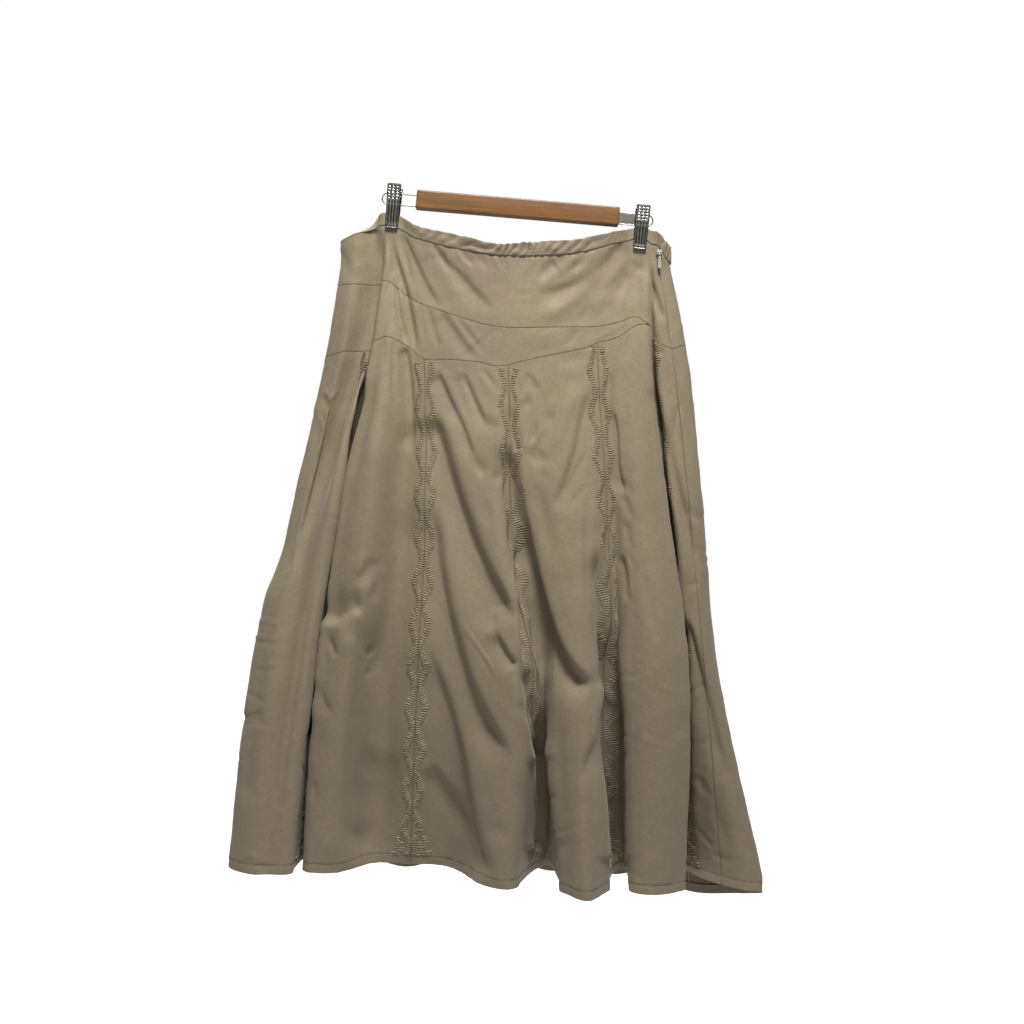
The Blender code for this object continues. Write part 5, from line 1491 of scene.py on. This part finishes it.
def mixed(tree, mask, one, two):
    """A colour mix by a mask; each colour is a socket or four numbers."""
    node = add(tree, "ShaderNodeMix", data_type="RGBA")
    feed(tree, (mask, node.inputs[0]), (one, node.inputs[6]), (two, node.inputs[7]))
    return node.outputs[2]


def ranged(tree, value, low, high, to_low=0.0, to_high=1.0):
    """A Map Range node: value from low..high to to_low..to_high, clamped."""
    node = add(tree, "ShaderNodeMapRange")
    feed(tree, *zip((value, low, high, to_low, to_high), node.inputs[:5]))
    return node.outputs[0]


def own_place(tree):
    """The place on the object, in its own metres."""
    return tree.nodes.new("ShaderNodeTexCoord").outputs["Object"]


def mapped(tree, vector, **settings):
    """A place moved, turned or stretched."""
    node = add(tree, "ShaderNodeMapping", **settings)
    feed(tree, (vector, node.inputs["Vector"]))
    return node.outputs[0]


def noise(tree, vector, scale, detail, roughness=0.5, distortion=0.0):
    """A noise texture's value, 0 to 1, at a place."""
    node = add(tree, "ShaderNodeTexNoise", in_Scale=scale, in_Detail=detail, in_Roughness=roughness,
               in_Distortion=distortion)
    feed(tree, (vector, node.inputs["Vector"]))
    return node.outputs[0]


def painted(tree, name):
    """The values that a mesh keeps under a name."""
    return add(tree, "ShaderNodeAttribute", attribute_name=name).outputs["Fac"]


def bumped(tree, height, strength, distance, under=None):
    """The normal of a bump, over another normal where one is given."""
    node = add(tree, "ShaderNodeBump", in_Strength=strength, in_Distance=distance)
    feed(tree, (height, node.inputs["Height"]), *([(under, node.inputs["Normal"])] if under else []))
    return node.outputs[0]


# %% Woven surface group
def make_woven_surface():
    """Height of a twill: diagonal waves on the piece's own map, plus fine nap and slubs."""
    tree, given, made = new_group("woven surface", {"Line Size": 0.8 * MM, "Nap": 0.5}, ("Height", "Mottle"))
    place = own_place(tree)
    cross = add(tree, "ShaderNodeSeparateXYZ")
    feed(tree, (add(tree, "ShaderNodeUVMap", uv_map="weave").outputs["UV"], cross.inputs[0]))
    per_metre = maths(tree, "DIVIDE", 1.0, given.outputs["Line Size"])
    diagonal = maths(tree, "ADD", cross.outputs[0], cross.outputs[1])
    wale = maths(tree, "SINE", times(tree, times(tree, diagonal, per_metre), 2 * math.pi))
    nap = times(tree, noise(tree, place, 900.0, 3.0, 0.6), given.outputs["Nap"])
    finish_shader(tree, made, Height=maths(tree, "ADD", times(tree, wale, 0.25), nap),
                  Mottle=noise(tree, place, 260.0, 4.0, 0.65))
    return tree


WOVEN = make_woven_surface()

# %% Cloth and thread
def make_twill():
    """Olive-brown twill: two colours in slow patches, a third, darker one low on the skirt as painted
    shade of the light falling off downwards, painted shade at seams, in ruche valleys, between ribs
    and in stitch grooves, with a bump from the weave and a slower one for a slight crumple."""
    made, tree, shader = start_material("olive brown twill")
    place = own_place(tree)
    crumple = noise(tree, place, 55.0, 4.0, 0.55)
    woven = place_group(tree, WOVEN, Line_Size=0.8 * MM, Nap=0.5)
    height = add(tree, "ShaderNodeSeparateXYZ")
    feed(tree, (place, height.inputs[0]))
    patches = ranged(tree, noise(tree, place, 9.0, 3.0), 0.38, 0.62)
    colour = mixed(tree, patches, linear(134, 123, 96), linear(127, 114, 94))
    # Darker low on the skirt: painted shade of the light falling off towards the hem.
    colour = mixed(tree, ranged(tree, height.outputs[2], -0.62, -0.12), linear(122, 110, 91), colour)
    speck = ranged(tree, woven.outputs["Mottle"], 0.35, 0.65, 0.0, 0.24)
    colour = mixed(tree, speck, colour, linear(88, 78, 62))
    # Painted shade: darker along the seams and in the ruche valleys (edge), between the ribs of the bands
    # (band) and in the hem's stitch groove (stitch).
    for name, share, dark in (("edge", 0.5, linear(64, 55, 42)), ("band", 0.10, linear(88, 78, 60)),
                              ("stitch", 0.28, linear(80, 70, 55))):
        colour = mixed(tree, times(tree, painted(tree, name), share), colour, dark)
    slow = bumped(tree, crumple, 0.35, 0.6 * MM)
    finish_shader(tree, shader, Base_Color=colour, Roughness=ranged(tree, crumple, 0.3, 0.7, 0.62, 0.78),
                  Normal=bumped(tree, woven.outputs["Height"], 0.25, 0.15 * MM, slow),
                  Sheen_Weight=0.12, Sheen_Roughness=0.5, Specular_IOR_Level=0.35)
    return made


def make_thread(name, light, dark, size):
    """Twisted thread: two tones in fine mottles, with the weave group's nap as bump."""
    made, tree, shader = start_material(name)
    woven = place_group(tree, WOVEN, Line_Size=size, Nap=0.8)
    colour = mixed(tree, ranged(tree, woven.outputs["Mottle"], 0.4, 0.6), light, dark)
    finish_shader(tree, shader, Base_Color=colour, Roughness=0.6, Sheen_Weight=0.15,
                  Normal=bumped(tree, woven.outputs["Height"], 0.4, 0.2 * MM))
    return made


twill = make_twill()
# The ribs get the cloth's lit colour, a painted highlight that makes them lighter than the twill.
rib_cloth_painted_lighter = make_thread("ribbed twill", linear(150, 138, 112), linear(128, 116, 93), 0.6 * MM)
thread = make_thread("hem thread", linear(104, 93, 72), linear(80, 70, 54), 0.4 * MM)
for pieces, material in ((cloth_pieces.values(), twill), (rib_pieces, rib_cloth_painted_lighter), ([hem_thread], thread)):
    for piece in pieces:
        piece.data.materials.append(material)
print("cloth materials:", twill.name, "|", rib_cloth_painted_lighter.name, "|", thread.name)

# %% [markdown]
# ## Wood and metal
#
# The wood's grain runs along the bar: noise stretched lengthwise, and rings that bend round a
# knot. The metal is plated steel: bright, slightly uneven, and dull where it is smudged.

# %% Wood
def make_wood():
    """Stained wood: long streaks from stretched noise, waves bent round a knot, fine pores."""
    made, tree, shader = start_material("stained wood")
    turned = mapped(tree, own_place(tree), in_Rotation=(0, -ROLL, 0))
    long_way = mapped(tree, turned, in_Scale=(5.0, 60.0, 60.0))
    streaks = noise(tree, long_way, 3.2, 6.0, 0.65, 0.6)
    pores = noise(tree, long_way, 18.0, 3.0, 0.7)
    by_knot = mapped(tree, turned, in_Location=(-0.047, 0.0, 0.012), in_Scale=(1.0, 0.3, 2.2))
    length = add(tree, "ShaderNodeVectorMath", operation="LENGTH")
    feed(tree, (by_knot, length.inputs[0]))
    far = length.outputs["Value"]
    rings = maths(tree, "SINE", times(tree, far, 2600.0))
    rings = times(tree, rings, ranged(tree, far, 0.0, 0.014, 1.0, 0.0))
    core = ranged(tree, far, 0.0015, 0.005, 1.0, 0.0)
    colour = mixed(tree, ranged(tree, streaks, 0.3, 0.7), linear(92, 58, 22), linear(134, 92, 46))
    for mask, dark in ((times(tree, ranged(tree, pores, 0.52, 0.72), 0.5), linear(84, 52, 32)),
                       (ranged(tree, times(tree, rings, 0.4), 0.0, 0.6), linear(84, 52, 34)),
                       (times(tree, core, 0.7), linear(70, 42, 28))):
        colour = mixed(tree, mask, colour, dark)
    finish_shader(tree, shader, Base_Color=colour, Normal=bumped(tree, pores, 0.25, 0.2 * MM),
                  Roughness=ranged(tree, streaks, 0.3, 0.7, 0.5, 0.36))
    return made


# %% Metal
def make_worn_metal():
    """Wear of plated metal: smudges and fine scratches as a mask, and a slight unevenness."""
    tree, given, made = new_group("worn metal", {"Amount": 0.5}, ("Wear", "Height"))
    place = own_place(tree)
    smudge = noise(tree, place, 160.0, 4.0, 0.6)
    scratch = noise(tree, mapped(tree, place, in_Scale=(1.0, 1.0, 0.08)), 2200.0, 2.0)
    finish_shader(tree, made, Wear=times(tree, ranged(tree, smudge, 0.42, 0.68), given.outputs["Amount"]),
                  Height=maths(tree, "ADD", times(tree, scratch, 0.3), smudge))
    return tree


WORN = make_worn_metal()


def make_metal(name, bright, dull, rough_low, rough_high, amount, painted_dent_shade=False):
    """Plated steel: bright colour with dull smudges, roughness from the same mask, and where asked,
    painted shade in the jaws' dents, rim and flute grooves.
    """
    made, tree, shader = start_material(name)
    wear_and_painted_shade = place_group(tree, WORN, Amount=amount)
    wear = wear_and_painted_shade.outputs["Wear"]
    colour = mixed(tree, wear, bright, dull)
    if painted_dent_shade:
        # Painted shade in the dents, rim and flute grooves of the jaws.
        colour = mixed(tree, times(tree, painted(tree, "dent"), 0.9), colour, linear(34, 32, 30))
    finish_shader(tree, shader, Base_Color=colour,
                  Normal=bumped(tree, wear_and_painted_shade.outputs["Height"], 0.08, 0.1 * MM),
                  Roughness=ranged(tree, wear, 0.0, 1.0, rough_low, rough_high), Metallic=1.0)
    return made


def make_pad():
    """Dark moulded pad of a clip's foot: near black, with a fine mottled roughness."""
    made, tree, shader = start_material("dark pad")
    grain = noise(tree, own_place(tree), 700.0, 3.0)
    colour = mixed(tree, ranged(tree, grain, 0.4, 0.6), linear(34, 31, 28), linear(50, 46, 42))
    finish_shader(tree, shader, Base_Color=colour, Roughness=ranged(tree, grain, 0.3, 0.7, 0.35, 0.55))
    return made


wood = make_wood()
chrome = make_metal("worn chrome", linear(196, 194, 188), linear(150, 143, 130), 0.16, 0.42, 0.7, True)
steel = make_metal("dull steel wire", linear(158, 154, 146), linear(110, 104, 94), 0.28, 0.55, 0.8)
zip_metal = make_metal("bright zip metal", linear(226, 224, 216), linear(190, 184, 170), 0.3, 0.5, 0.5)
pad = make_pad()

PAINT = {"jaw_": chrome, "wire_": steel, "coil_": steel, "foot_pad": pad, "wooden_bar": wood}
for thing in list(bpy.data.objects):
    for start, material in PAINT.items():
        if thing.name.startswith(start):
            thing.data.materials.clear()
            thing.data.materials.append(material)
for node, material in (("zip_slider", zip_metal), ("zip_link", zip_metal), ("zip_pull_tab", zip_metal),
                       ("hanger_plate_right", steel)):
    for place in frame["nodes"][node].material_slots:
        place.material = material
print("materials:", len(bpy.data.materials))

# %% [markdown]
# ## Floor, light and finish
#
# The skirt hangs free over a plain pale floor. A large soft light stands high in front, as in
# the photograph, so that the walls of slanting creases which look down are dark. A weak one
# fills from the front, and one lights the back. The floor and the world are white to the
# camera, and the world is a dim grey to the cloth.

# %% Stage and light
def soft_light(name, at, look, size, watts):
    """A square area light at a place, turned to look at a point."""
    lamp = bpy.data.lights.new(name, "AREA")
    lamp.size = size
    lamp.energy = watts
    thing = bpy.data.objects.new(name, lamp)
    thing.location = at
    thing.rotation_euler = (Vector(look) - Vector(at)).to_track_quat("-Z", "Y").to_euler()
    bpy.context.scene.collection.objects.link(thing)


def camera_only(tree):
    """1 where the camera looks straight at the surface, 0 for light that falls on other things."""
    return add(tree, "ShaderNodeLightPath").outputs["Is Camera Ray"]


FLOOR_REACH, FLOOR_HEIGHT = 14.0, -1.9
BLACK, WHITE = (0, 0, 0, 1), (1, 1, 1, 1)
floor_mesh = bpy.data.meshes.new("floor")
floor_mesh.from_pydata([(x * FLOOR_REACH, y * FLOOR_REACH, FLOOR_HEIGHT)
                        for x, y in ((-1, -1), (1, -1), (1, 1), (-1, 1))], [], [(0, 1, 2, 3)])
floor = bpy.data.objects.new("floor", floor_mesh)
bpy.context.scene.collection.objects.link(floor)
floor_paint, floor_tree, floor_shader = start_material("pale floor")
finish_shader(floor_tree, floor_shader, Base_Color=(0.95, 0.95, 0.95, 1), Roughness=0.9,
              Emission_Strength=1.0,
              Emission_Color=mixed(floor_tree, camera_only(floor_tree), BLACK, WHITE))
floor_mesh.materials.append(floor_paint)

world = bpy.data.worlds.new("studio")
bpy.context.scene.world = world
world.use_nodes = True
glow = world.node_tree.nodes["Background"]
strength = ranged(world.node_tree, camera_only(world.node_tree), 0, 1, 0.12, 1.0)
feed(world.node_tree, (WHITE, glow.inputs[0]), (strength, glow.inputs[1]))

soft_light("key", (0.2, -1.3, 1.95), (0, 0, -0.35), 0.55, 124)
soft_light("fill", (0.5, -2.6, -0.2), (0, 0, -0.4), 1.6, 5)
soft_light("back", (-1.3, 2.0, 1.2), (0, 0, -0.4), 1.2, 75)
bpy.context.scene.view_settings.view_transform = "Standard"
